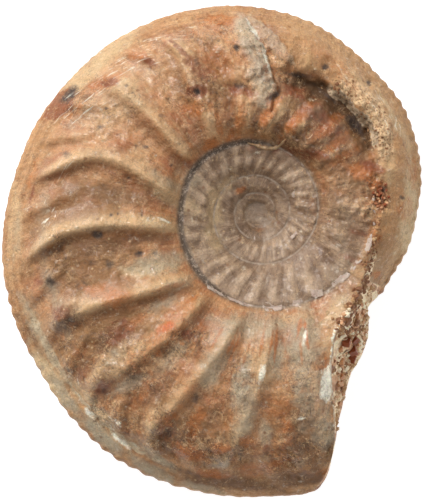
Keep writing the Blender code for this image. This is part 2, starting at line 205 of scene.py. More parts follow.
# From here on the broken face is only a narrow line: growth angles, distance outwards
NARROW_ARC, NARROW_REACH = (319, 331), (0.5, 1.2)
UNBROKEN_HEIGHT = (268, 282)
REMNANT_ARC = 26.0
INNER_FADE = (-34, 40)

# Small pits: place on the flank, radius, depth
PITS = [
    (-13.3, 1.8, 0.5, 0.35), (-12.0, 4.0, 0.25, 0.2), (-11.1, 4.2, 0.2, 0.15), (-8.2, 4.2, 0.3, 0.25),
    (-9.8, 8.5, 0.28, 0.25), (-10.9, 8.0, 0.2, 0.15), (-1.7, 18.6, 0.4, 0.4), (-7.4, 22.3, 0.5, 0.3),
    (-12.2, 20.1, 0.65, 0.35), (-12.5, 16.7, 0.2, 0.15), (-9.5, 18.5, 0.2, 0.15),
    (-10.1, 19.4, 0.2, 0.15), (-13.0, 14.5, 0.4, 0.15), (-17.2, 11.2, 0.5, 0.15), (-6.0, 15.8, 0.3, 0.15),
    (-3.1, 10.3, 0.4, 0.25), (-4.8, 9.9, 0.2, 0.15), (-19.0, -3.8, 0.6, 0.3), (-17.6, -7.6, 0.6, 0.25),
    (-12.0, -1.7, 0.5, 0.2), (-8.5, -0.5, 0.4, 0.25), (-6.7, -0.5, 0.3, 0.2), (2.9, 23.9, 0.4, 0.3),
    (3.3, 19.3, 0.6, 0.6), (7.3, 18.2, 0.7, 0.5), (-1.9, -17.3, 0.6, 0.35), (-5.2, -21.4, 0.5, 0.3),
    (18.7, 20.0, 0.4, 0.35), (13.4, 21.6, 0.45, 0.5), (20.0, 6.2, 0.55, 0.6), (20.1, 7.1, 0.5, 0.5),
    (-11.9, -5.7, 0.15, 0.15), (-3.8, -1.9, 0.2, 0.15),
]

# Small knobs: place on the flank, radius, height
KNOBS = [
    (-12.8, 20.5, 0.85, 0.45), (-7.8, 22.8, 0.75, 0.4), (-5.2, 24.4, 0.9, 0.35), (-2.4, 19.4, 0.8, 0.35),
    (-15.4, 16.6, 0.7, 0.25), (2.2, 20.2, 0.7, 0.3), (-17.6, -6.2, 0.8, 0.3), (-13.0, -14.8, 0.8, 0.3),
]

# Where the stone is rough and crumpled: place, half length, half width, turn, strength
ROUGH = [
    (-3.2, -10.8, 2.4, 1.9, 0, 1.0), (-5.6, -21.6, 3.6, 2.5, -25, 0.9), (-8.6, -13.0, 5.0, 3.6, 35, 0.6),
    (-14.0, -13.0, 4.0, 3.0, 40, 0.5), (6.0, 20.0, 3.0, 3.0, 0, 0.5), (-1.0, 18.6, 4.0, 3.0, 0, 0.5),
    (14.0, -22.0, 2.4, 4.0, 0, 0.6), (8.0, 14.0, 6.0, 1.6, -25, 0.5), (0.4, -23.4, 4.0, 2.2, 0, 0.9),
    (9.4, -24.0, 3.8, 2.4, 0, 0.8), (-12.2, -19.2, 2.8, 1.6, -45, 0.9), (-17.0, -9.6, 3.0, 2.0, 60, 0.6),
    (-18.2, 0.0, 3.0, 1.8, 80, 0.5), (-11.0, 15.6, 3.6, 2.2, 40, 0.2), (3.0, -15.6, 4.5, 3.0, 60, 0.5),
    (10.0, -17.0, 4.0, 3.0, 80, 0.5), (7.2, 22.0, 4.0, 2.6, -60, 0.6), (-6.0, -15.0, 3.0, 2.2, 45, 0.5),
    (18.6, 6.0, 3.6, 1.4, 85, 0.8), (-16.0, 17.5, 2.6, 1.4, 45, 0.6), (2.0, 25.0, 6.0, 2.6, -10, 0.4),
    (12.6, 13.0, 5.0, 2.4, -35, 0.4), (14.0, 6.0, 3.0, 5.0, 0, 0.35),
]

# Mesh: steps around and across
OUTER_COLUMNS, INNER_COLUMNS = 640, 320
LOWER_ROWS, UPPER_ROWS = 38, 50
INNER_ROWS = (28, 16, 10)
UNDER_OUTER_COLUMNS, UNDER_INNER_COLUMNS = 360, 160
UNDER_ROWS, UNDER_INNER_ROWS = (16, 26), (14, 8, 5)
KEEL_ROWS = 3
ROW_SQUEEZE = (236, 290)
# Rows crowd a little towards the seam and the keel
CROWD_LOWER, CROWD_UPPER = 1.12, 1.1
# Shares of the height where the edge is kept calm and where the keel's colour sets in
EDGE_REACH, EDGE_CALM = (0.96, 1.0), 0.8
KEEL_COLOUR = (0.78, 0.97)
# How far the umbilicus's colour reaches over the seam, and how softly it ends where the
# last whorl starts, in mm
INNER_COLOUR, INNER_BLEND = 0.8, 0.3
# Growth lines bend as the ribs do: degrees by the share of the height, and by its square
GROWTH_BEND = (14, -12)


def between(x, points):
    """A smooth curve through (x, y) points, flat beyond its ends."""
    px = np.array([p[0] for p in points], float)
    py = np.array([p[1] for p in points], float)
    x = np.clip(np.asarray(x, float), px[0], px[-1])
    step = np.diff(px)
    rise = np.diff(py) / step
    slope = np.concatenate([[rise[0]], (rise[:-1] + rise[1:]) / 2, [rise[-1]]])
    turns = np.concatenate([[False], rise[:-1] * rise[1:] <= 0, [False]])
    slope[turns] = 0.0
    i = np.clip(np.searchsorted(px, x, side="right") - 1, 0, len(step) - 1)
    t = (x - px[i]) / step[i]
    return (
        py[i] * (1 + 2 * t) * (1 - t) ** 2 + slope[i] * step[i] * t * (1 - t) ** 2
        + py[i + 1] * t * t * (3 - 2 * t) + slope[i + 1] * step[i] * t * t * (t - 1)
    )


def ease(x, low, high):
    """0 below low, 1 above high, smooth between."""
    t = np.clip((x - low) / (high - low), 0.0, 1.0)
    return t * t * (3 - 2 * t)


def plateau(x, reach):
    """Rises to 1 and falls again, by the four values of a reach."""
    rise, whole, fade, gone = reach
    return ease(x, rise, whole) * (1 - ease(x, fade, gone))


def bump(x, width):
    return np.exp(-((x / width) ** 2))


def lumps(size, seed, x, y=0.0, z=0.0, waves=14):
    """Uneven lumps of about one size, mostly between -1 and 1."""
    rng = np.random.default_rng(seed)
    total = 0.0
    for _ in range(waves):
        d = rng.normal(size=3)
        d *= rng.uniform(0.7, 1.5) * math.tau / (size * np.linalg.norm(d))
        total = total + np.sin(x * d[0] + y * d[1] + z * d[2] + rng.uniform(0, math.tau))
    return total / math.sqrt(2 * waves)


def uneven(layers, *place):
    """Lumps of several sizes together; each layer has a height, a size and a seed."""
    return sum(high * lumps(size, seed, *place) for high, size, seed in layers)


def scattered(x, y, size, seed):
    """Distance from each place to the nearest of many scattered points, as a share of
    their spacing, and a value from 0 to 1 that belongs to that point."""
    column, row = np.floor(x / size), np.floor(y / size)
    nearest = np.full(np.shape(x), 9.0)
    own = np.zeros(np.shape(x))
    for i in (-1, 0, 1):
        for j in (-1, 0, 1):
            a = np.sin((column + i) * 127.1 + (row + j) * 311.7 + seed) * 43758.5453
            b = np.sin((column + i) * 269.5 + (row + j) * 183.3 + seed) * 43758.5453
            off_x = column + i + a - np.floor(a) - x / size
            off_y = row + j + b - np.floor(b) - y / size
            off = np.hypot(off_x, off_y)
            own = np.where(off < nearest, a - np.floor(a), own)
            nearest = np.minimum(nearest, off)
    return nearest, own


def seam_radius(angle):
    """Distance from the centre to the whorl's inner edge."""
    return SEAM_RADIUS * np.exp(GROWTH * np.radians(angle)) * between(angle, SEAM_DRIFT)


def half_thickness(angle):
    return HALF_THICKNESS * np.exp(THICKNESS_GROWTH * np.radians(angle))


def flat_place(angle, radius):
    a = np.radians(angle)
    return CENTRE[0] + radius * np.cos(a), CENTRE[1] + radius * np.sin(a)


def middle(x, y):
    return MIDDLE_HEIGHT + LEAN_X * x + LEAN_Y * y


# How many teeth of the keel there are from its start to each growth angle
TOOTH_ANGLES = np.linspace(LAST_START, LAST_END, 2000)
TOOTH_COUNT = np.concatenate([[0.0], np.cumsum(
    np.radians(np.diff(TOOTH_ANGLES)) * between(TOOTH_ANGLES[1:], OUTLINE)
    / between(TOOTH_ANGLES[1:], TOOTH_STEP)
)])


def tooth(angle):
    """1 on the crest of a tooth of the keel, 0 in the notch between two."""
    return np.abs(np.sin(math.pi * np.interp(angle, TOOTH_ANGLES, TOOTH_COUNT)))


def keel_edge(angle):
    """The outline with its teeth, some of them worn down."""
    height = between(angle, TOOTH_HEIGHT) * (1 + TOOTH_UNEVEN * lumps(3.0, 21, angle / 4))
    teeth = height * (TOOTH_OUT * tooth(angle) - TOOTH_IN)
    return between(angle, OUTLINE) + teeth + EDGE_UNEVEN * lumps(1.7, 22, angle / 2)


def rib_relief(angle, radius, share, marks):
    """Height of the flank's and the shoulder's ribs on the last whorl."""
    relief = 0.0
    # This mark says where shade is painted on the forward side of each rib, below its crest
    lee_shade = 0.0
    reach = plateau(share, FLANK_RIB_REACH)
    t = (share - RIB_NEAR) / (RIB_FAR - RIB_NEAR)
    for near, mid, far, height in FLANK_RIBS:
        path = near + (4 * mid - 3 * near - far) * t + (2 * near + 2 * far - 4 * mid) * t * t
        gap = np.radians(angle - path) * radius
        width = np.where(gap < 0, RIB_WIDTH_BEHIND, RIB_WIDTH_BEFORE)
        relief = relief + height * (bump(gap, width) + CREST_EDGE * bump(gap, CREST_WIDTH)) * reach
        lee_shade = np.maximum(lee_shade, height * bump(gap - LEE_SHADE_AFTER, LEE_SHADE_WIDTH) * reach)
    reach = plateau(share, SHOULDER_RIB_REACH)
    for crest in SHOULDER_RIBS:
        path = crest + SHOULDER_BEND * (share - SHOULDER_AT)
        gap = np.radians(angle - path) * radius
        width = np.where(gap < 0, SHOULDER_WIDTH_BEHIND, SHOULDER_WIDTH_BEFORE)
        relief = relief + SHOULDER_RIB_HEIGHT * bump(gap, width) * reach
        shade = bump(gap - LEE_SHADE_AFTER * SHOULDER_LEE_SHADE, LEE_SHADE_WIDTH * 0.6)
        lee_shade = np.maximum(lee_shade, SHOULDER_LEE_SHADE * shade * reach)
    swollen = 1 + SWELL * bump(share - SWELL_SHARE, SWELL_REACH) * plateau(angle, SWELL_ARC)
    marks["lee_shade"] = lee_shade * swollen
    return relief * swollen


def whorl(angle, radius, side, marks):
    """Height of the last whorl's flank above the middle plane, ribs and all."""
    seam = seam_radius(angle)
    edge = between(angle, OUTLINE)
    half = half_thickness(angle)
    unbroken = FULL_HEIGHT / SEAM_RADIUS * seam
    height = edge - seam + (unbroken - edge + seam) * ease(angle, *UNBROKEN_HEIGHT)
    across = (radius - seam) / height
    ribs = rib_relief(angle, radius, across, marks)
    surface = half * between(across, SECTION) + ribs
    inset = edge - radius
    groove = bump(inset - GROOVE_INSET, GROOVE_WIDTH) * plateau(angle, GROOVE_ARC)
    ridge = bump(inset - RIDGE_INSET, RIDGE_WIDTH) * plateau(angle, GROOVE_ARC)
    beads = (1 - ease(inset, TOOTH_START, TOOTH_REACH)) * between(angle, TOOTH_HEIGHT)
    beads = beads * (tooth(angle - inset * TOOTH_LEAN) - 0.5)
    surface = surface - GROOVE_DEPTH * groove + RIDGE_HEIGHT * ridge + beads
    # Past the break line the surface is the broken face, which slopes out and down
    line = between(angle, BREAK_LINE) + BREAK_WAVE * lumps(1.4, 27, angle / 4)
    past = np.clip((radius - line) / np.maximum(edge - line, BREAK_LEAST), 0.0, 1.0)
    past = past * ease(angle, *BREAK_START)
    marks["rim"] = RIM_STRENGTH * bump(radius - line + RIM_INSET, RIM_WIDTH) * plateau(angle, RIM_ARC)
    # This mark is 2 on the break line and grows by 1 with each mm outwards
    marks["beyond"] = (np.clip(radius - line, -2.0, 2.0) + 2.0) * ease(angle, *BREAK_START)
    marks["crest"] = ribs
    marks["groove"] = groove
    if side < 0:
        marks["broken"] = past * 0
        return surface + (BREAK_UNDER * half - surface) * past ** 2
    narrow = ease(angle, *NARROW_ARC)
    marks["broken"] = past * (1 - narrow * ease(radius - line, *NARROW_REACH))
    x, y = flat_place(angle, radius)
    face = 4 * past * (1 - past)
    rough = BREAK_LUMP * lumps(BREAK_LUMP_SIZE, 7, x, y, surface) * face
    gap, own = scattered(x, y, GRIT_SIZE, 5)
    marks["gap"], marks["own"] = gap, own
    sand = GRIT_SAND * lumps(GRIT_SAND_SIZE, 17, x, y, surface)
    grains = GRIT_HEIGHT * (GRIT_LEAST + own) * (bump(gap, GRIT_WIDTH) - 0.5)
    rough = rough + ease(past, 0.0, 0.08) * (1 - ease(past, 0.85, 1.0)) * (sand + grains)
    rough = rough * (1 - 0.85 * narrow * ease(radius - line, *NARROW_REACH))
    rough = rough - BREAK_CLIFF * ease(past, 0.0, 0.07) * (1 - ease(past, 0.4, 1.0))
    return surface + (BREAK_LEVEL * half - surface) * past + rough


def old_flank(angle, radius, share, side, marks):
    """The older part of the whorl, with what the lost outer whorl left on it."""
    surface = whorl(angle, radius, side, marks)
    x, y = flat_place(angle, radius)
    left = 1 - ease(angle, *BAND_ARC_END)
    edge = between(angle, BAND_EDGE)
    edge = edge + uneven(BAND_RAGGED, x, y)
    raised = ease(share, edge - BAND_STEP, edge + BAND_STEP)
    band = raised * (1 - (1 - BAND_AT_KEEL) * ease(share, *CRUMB_FADE))
    crumbs = raised * (1 - ease(share, *CRUMB_FADE))
    worn_down = CRUMB_WORN + (1 - CRUMB_WORN) * plateau(angle, CRUMB_ARC)
    rough = crumbs * worn_down * lumps(CRUMB_SIZE, 3, x, y, surface)
    surface = surface + left * (BAND_HEIGHT * band + CRUMB_HEIGHT * rough)
    porous = plateau(angle, PORE_ARC) * plateau(share - edge, PORE_REACH)
    coarse, fine = [
        bump(scattered(x, y, size, seed)[0], width)
        for size, width, seed in zip(PORE_SIZES, PORE_WIDTHS, (3, 4))
    ]
    holes = coarse * ease(lumps(2.4, 12, x, y, surface), -0.6, 0.6)
    holes = np.maximum(holes, SMALL_PORE * fine)
    crumble = uneven(CRUMBLE, x, y, surface)
    surface = surface - porous * (PORE_DEPTH * holes - crumble)
    marks["band"] = left * raised
    marks["crust"] = porous
    marks["pore"] = porous * holes
    if side < 0:
        marks["hollow"] = marks["wall"] = porous * 0
        return surface
    off = share - between(angle, HOLLOW_MIDDLE) + uneven(HOLLOW_RAGGED, x, y)
    arc = plateau(angle, HOLLOW_ARC)
    hollow = plateau(off, HOLLOW_REACH) * arc
    marks["hollow"] = hollow
    marks["wall"] = plateau(off, WALL_REACH) * plateau(angle, WALL_ARC)
    depth = between(angle, HOLLOW_DEPTH) * (1 + uneven(HOLLOW_UNEVEN, x, y))
    return surface - depth * hollow


def tongue_of(points, angle, radius, share, ragged, falls, reach):
    """1 along the middle of a tongue of the pale vein, 0 beside it."""
    order = sorted(points, key=lambda p: p[1])
    centre = between(share, [(p[1], p[0]) for p in order])
    half = between(share, [(p[1], p[2]) for p in order])
    gap = np.radians(angle - centre) * radius / half + ragged
    return (1 - ease(-gap, *falls[0])) * (1 - ease(gap, *falls[1])) * plateau(share, reach)


def vein_relief(angle, radius, share, marks):
    """The pale vein that stands on the flank at the top."""
    place = flat_place(angle, radius)
    ragged = uneven(VEIN_RAGGED, *place)
    vein = tongue_of(VEIN, angle, radius, share, ragged, VEIN_FALLS, VEIN_REACH)
    tongue = tongue_of(TONGUE, angle, radius, share, 1.3 * ragged, TONGUE_FALLS, TONGUE_REACH)
    marks["vein"] = vein
    marks["tongue"] = tongue
    rough = uneven(VEIN_ROUGH, *place)
    return np.maximum((VEIN_HEIGHT + rough) * vein, (TONGUE_HEIGHT + rough) * tongue)


def inner_flank(angle, share, marks):
    """Height of an inner whorl, of which the next whorl leaves a part bare."""
    half = half_thickness(angle)
    start = SECTION[0][1]
    end = start * math.exp(THICKNESS_GROWTH * math.tau)
    level = between(share * INNER_SHARE, SECTION)
    level = level + (end - between(INNER_SHARE, SECTION)) * ease(share, 0.5, 1.0)
    path = angle - INNER_RIB_LAG * (1 - share) ** 2 + INNER_RIB_LEAD * share
    path = path + INNER_RIB_WAVER * lumps(2.0, 43, angle / 20, waves=5)
    crest = (np.cos(math.tau * path / INNER_RIB_STEP) * 0.5 + 0.5) ** INNER_RIB_SHARP
    whole = INNER_RIB_LEAST + (1 - INNER_RIB_LEAST) * ease(angle, *INNER_RIB_FADE)
    crest = crest * plateau(share, INNER_RIB_REACH) * whole
    marks["crest"] = crest * INNER_CREST_HIGHLIGHT
    return half * (level + INNER_RIB_HEIGHT * crest)


def last_flank(angle, radius, side, marks):
    """Height of the last whorl above the middle plane at any of its growth angles."""
    seam = seam_radius(angle)
    share = np.clip((radius - seam) / (between(angle, OUTLINE) - seam), 0.0, 1.0)
    surface = old_flank(angle, radius, share, side, marks)
    marks["vein"] = marks["tongue"] = 0 * surface
    if side > 0:
        surface = surface + vein_relief(angle, radius, share, marks)
    # Near its start it still has the form of the inner whorls, and the rest of the
    # broken whorl runs on over it and thins out
    later = angle + TURN
    former = seam_radius(later)
    bare_marks, rest_marks = {}, {}
    bare_share = np.clip((radius - seam) / (former - seam), 0.0, 1.0)
    bare = inner_flank(angle, bare_share, bare_marks)
    rest = whorl(later, np.maximum(radius, former), side, rest_marks)
    start = np.where(radius > former, rest, bare)
    blend = ease(angle, LAST_START, LAST_START + REMNANT_ARC)
    broken = np.where(radius > former, rest_marks["broken"], 0)
    crest = np.where(radius > former, 0, bare_marks["crest"])
    marks["broken"] = marks["broken"] + (1 - blend) * broken
    marks["crest"] = marks["crest"] * blend + (1 - blend) * crest
    return start * (1 - blend) + surface * blend


def patch(x, y, places, seed, soft=(0.35, 1.5)):
    """How strongly a place lies in any of the patches, which have ragged edges."""
    ragged = 1 + uneven([(0.2, 1.7, seed), (0.12, 0.6, seed + 1)], x, y)
    mark = 0.0 * x
    for px, py, long, wide, turn, strength in places:
        c, s = math.cos(math.radians(turn)), math.sin(math.radians(turn))
        along = ((x - px) * c + (y - py) * s) / long
        across = ((y - py) * c - (x - px) * s) / wide
        mark = np.maximum(mark, strength * (1 - ease(np.hypot(along, across) * ragged, *soft)))
    return mark


# How uneven the worn stone is: height, size, seed
WEAR = [(0.1, 3.4, 31), (0.05, 1.5, 32), (0.02, 0.75, 33)]
CRUMPLE_LEAST, CRUMPLE_MORE = 0.08, 0.32
PIT_SHARE = 0.7


def worn(x, y, z):
    """The small unevenness of a worn stone, and the crumpled relief of its rough places."""
    rough = patch(x, y, ROUGH, 35)
    crumple = np.abs(lumps(1.7, 34, x, y, z)) + 0.7 * np.abs(lumps(0.95, 36, x, y, z)) - 0.95
    return uneven(WEAR, x, y, z) - (CRUMPLE_LEAST + CRUMPLE_MORE * rough) * crumple


def pit_relief(x, y):
    """The small pits and knobs of the upper flank."""
    ragged = 1 + 0.18 * lumps(0.9, 41, x, y, waves=6)
    depth, height = 0.0 * x, 0.0 * x
    for px, py, size, deep in PITS:
        depth = np.maximum(depth, deep * bump(np.hypot(x - px, y - py) * ragged, size))
    for px, py, size, high in KNOBS:
        height = np.maximum(height, high * bump(np.hypot(x - px, y - py) * ragged, size))
    return height - PIT_SHARE * depth


def stitch(a, b, faces, reach=None):
    """Fill the strip between two rows of points, walked together by reach or by count."""
    if reach is None and len(a) == len(b):
        faces += [(a[k], a[k + 1], b[k + 1], b[k]) for k in range(len(a) - 1)]
        return
    at_a = [reach[k] for k in a] if reach else np.linspace(0, 1, len(a))
    at_b = [reach[k] for k in b] if reach else np.linspace(0, 1, len(b))
    i = j = 0
    while i < len(a) - 1 or j < len(b) - 1:
        if i == len(a) - 1:
            step_a = False
        elif j == len(b) - 1:
            step_a = True
        else:
            step_a = at_a[i] + at_a[i + 1] < at_b[j] + at_b[j + 1]
        if step_a:
            faces.append((a[i], a[i + 1], b[j]))
            i += 1
        else:
            faces.append((a[i], b[j + 1], b[j]))
            j += 1


MARKS = [
    "crest", "lee_shade", "groove", "broken", "rim", "band", "crust", "pore", "hollow", "wall", "vein",
    "tongue", "inner", "seam", "keel", "growth", "inset", "outset", "beyond", "gap", "own",
]
DARK_SEAM_ARC = (70, 105, 235, 262)
SEAM_WIDTH, SEAM_CLEAN, SEAM_INNER = 0.42, 0.25, 0.22


def seam_marks(marks, gap, angle):
    """How dark the seam is: with dirt on one side of the umbilicus, else nearly clean."""
    dirt = SEAM_CLEAN + (1 - SEAM_CLEAN) * plateau(angle, DARK_SEAM_ARC)
    dark = np.where(angle > LAST_START, dirt, SEAM_INNER)
    marks["seam"] = np.maximum(marks.get("seam", 0.0), bump(gap, SEAM_WIDTH) * dark)


class Flank:
    """The points of one flank as they are made, with the marks that colour them."""

    def __init__(self, side, first):
        self.side = side
        self.first = first
        self.parts = []
        self.count = 0

    def add(self, angle, radius, surface, marks):
        """Add points; their numbers come back in the same arrangement."""
        x, y = flat_place(angle, radius)
        z = middle(x, y) + self.side * surface
        shape = np.shape(x)
        values = [np.broadcast_to(marks.get(name, 0.0), shape).ravel() for name in MARKS]
        self.parts.append(np.stack([np.ravel(x), np.ravel(y), np.ravel(z)] + values, axis=1))
        numbers = self.first + self.count + np.arange(np.size(x)).reshape(shape)
        self.count += np.size(x)
        return numbers


def weather(angle, radius, surface, side, edge):
    """Wear and pits on a stretch of flank, less at its edge."""
    x, y = flat_place(angle, radius)
    surface = surface + worn(x, y, side * surface) * (1 - EDGE_CALM * np.asarray(edge))
    if side > 0:
        surface = surface + pit_relief(x, y)
    return surface


def make_flank(side, first, columns, inner_columns, rows, inner_rows):
    """One flank's points and faces, and the ring of points along its outline."""
    flank = Flank(side, first)
    faces = []
    step = TURN / inner_columns
    turn_ends = INNER_TURNS * inner_columns

    # The seam between the whorls, one long spiral from the broken end to the centre
    angle = LAST_END - step * np.arange(turn_ends + inner_columns + 1)
    radius = seam_radius(angle)
    marks = {"inner": 1.0, "growth": angle}
    seam_marks(marks, 0.0 * angle, angle)
    seam = flank.add(angle, radius, half_thickness(angle) * SECTION[0][1], marks)

    # The inner whorls, column by column towards the centre
    inner = []
    for k in range(turn_ends + 1):
        count = inner_rows[min(k // inner_columns, INNER_TURNS - 1)]
        share = np.linspace(0, 1, count + 1)[1:-1]
        angle = np.full(len(share), LAST_START - k * step)
        low, high = seam_radius(angle), seam_radius(angle + TURN)
        radius = low + (high - low) * share
        path = angle - INNER_RIB_LAG * (1 - share) ** 2 + INNER_RIB_LEAD * share
        marks = {"inner": 1.0, "growth": path}
        surface = inner_flank(angle, share, marks)
        edge = np.minimum(share, 1 - share) < 0.01
        seam_marks(marks, radius - low, angle)
        seam_marks(marks, high - radius, angle + TURN)
        marks["inset"] = high - radius
        marks["outset"] = radius - low
        surface = weather(angle, radius, surface, side, edge)
        between_seams = list(flank.add(angle, radius, surface, marks))
        inner.append([seam[k + inner_columns]] + between_seams + [seam[k]])
    for k in range(turn_ends):
        stitch(inner[k + 1], inner[k], faces)

    # The first coil at the centre, closed by a fan
    hub_angle = LAST_START - INNER_TURNS * TURN
    hub = int(flank.add(
        np.array([LAST_START - 90.0]), np.array([HUB_OFFSET]),
        np.array([half_thickness(hub_angle) * HUB_LEVEL]), {"inner": 1.0, "growth": hub_angle},
    )[0])
    rim = list(seam[turn_ends:]) + inner[-1][1:]
    faces += [(hub, b, a) for a, b in zip(rim, rim[1:])]

    # The last whorl, column by column to the broken end
    lower, upper = rows
    angle = (LAST_START + np.arange(1, columns + 1) * TURN / columns)[:, None]
    low = seam_radius(angle)
    high = keel_edge(angle)
    squeeze = ease(angle, *ROW_SQUEEZE)
    knee = seam_radius(angle + TURN) * (1 - squeeze)
    knee = knee + (low + (high - low) * lower / (lower + upper)) * squeeze
    near = (np.arange(1, lower + 1) / lower) ** CROWD_LOWER
    far = 1 - (1 - np.arange(1, upper + 1) / upper) ** CROWD_UPPER
    radius = np.concatenate([low + (knee - low) * near, knee + (high - knee) * far], axis=1)
    angle = np.broadcast_to(angle, radius.shape)
    marks = {}
    surface = last_flank(angle, radius, side, marks)
    share = (radius - low) / (high - low)
    edge = ease(share, *EDGE_REACH)
    t = (share - RIB_NEAR) / (RIB_FAR - RIB_NEAR)
    marks["growth"] = angle + GROWTH_BEND[0] * t + GROWTH_BEND[1] * t * t
    seam_marks(marks, radius - low, angle)
    marks["keel"] = ease(share, *KEEL_COLOUR)
    marks["inset"] = high - radius
    marks["outset"] = radius - low
    former = 1 - ease(radius, knee - INNER_BLEND, knee + INNER_BLEND)
    former = (1 - ease(angle, *INNER_FADE)) * former
    marks["inner"] = np.maximum(1 - ease(radius - low, 0.0, INNER_COLOUR), former)
    surface = weather(angle, radius, surface, side, edge)
    outer = [list(column) for column in flank.add(angle, radius, surface, marks)]

    spots = np.concatenate(flank.parts)
    start = inner[0] + outer[-1]
    reach = {
        number: math.hypot(spots[number - first, 0] - CENTRE[0], spots[number - first, 1] - CENTRE[1])
        for number in start + outer[0]
    }
    stitch(start[1:], outer[0], faces, reach)
    for a, b in zip(outer, outer[1:]):
        stitch(a, b, faces)
    stitch([start[1]] + [column[0] for column in outer], list(seam[inner_columns::-1]), faces)
    if side < 0:
        faces = [face[::-1] for face in faces]
    return spots, faces, [column[-1] for column in outer]


def make_coil():
    """The whole stone: both flanks and the narrow face of the keel between them."""
    top_spots, top_faces, top_ring = make_flank(
        1, 0, OUTER_COLUMNS, INNER_COLUMNS, (LOWER_ROWS, UPPER_ROWS), INNER_ROWS
    )
    under_spots, under_faces, under_ring = make_flank(
        -1, len(top_spots), UNDER_OUTER_COLUMNS, UNDER_INNER_COLUMNS, UNDER_ROWS,
        UNDER_INNER_ROWS
    )
    spots = np.concatenate([top_spots, under_spots])
    faces = top_faces + under_faces
    # The keel's face: rings of points from the upper outline to the lower one
    ring = np.array(top_ring)
    angle = LAST_START + (np.arange(len(ring)) + 1) * TURN / len(ring)
    share = np.arange(len(ring)) / len(ring) * len(under_ring)
    below = spots[np.array(under_ring)]
    whole = np.floor(share).astype(int)
    part = (share - whole)[:, None]
    below = below[whole % len(below)] * (1 - part) + below[(whole + 1) % len(below)] * part
    bulge = KEEL_BULGE + (BROKEN_BULGE - KEEL_BULGE) * ease(angle, *BREAK_START)
    a = np.radians(angle)
    rings = [top_ring]
    for row in range(1, KEEL_ROWS + 1):
        down = row / (KEEL_ROWS + 1)
        points = spots[ring] * (1 - down) + below * down
        out = bulge * 4 * down * (1 - down) + EDGE_UNEVEN * lumps(0.9, 51, *points[:, :3].T)
        points[:, 0] += out * np.cos(a)
        points[:, 1] += out * np.sin(a)
        rings.append(list(range(len(spots), len(spots) + len(points))))
        spots = np.concatenate([spots, points])
    for upper, lower in zip(rings, rings[1:]):
        stitch(lower + lower[:1], upper + upper[:1], faces)
    stitch(under_ring + under_ring[:1], rings[-1] + rings[-1][:1], faces)
    return spots, faces
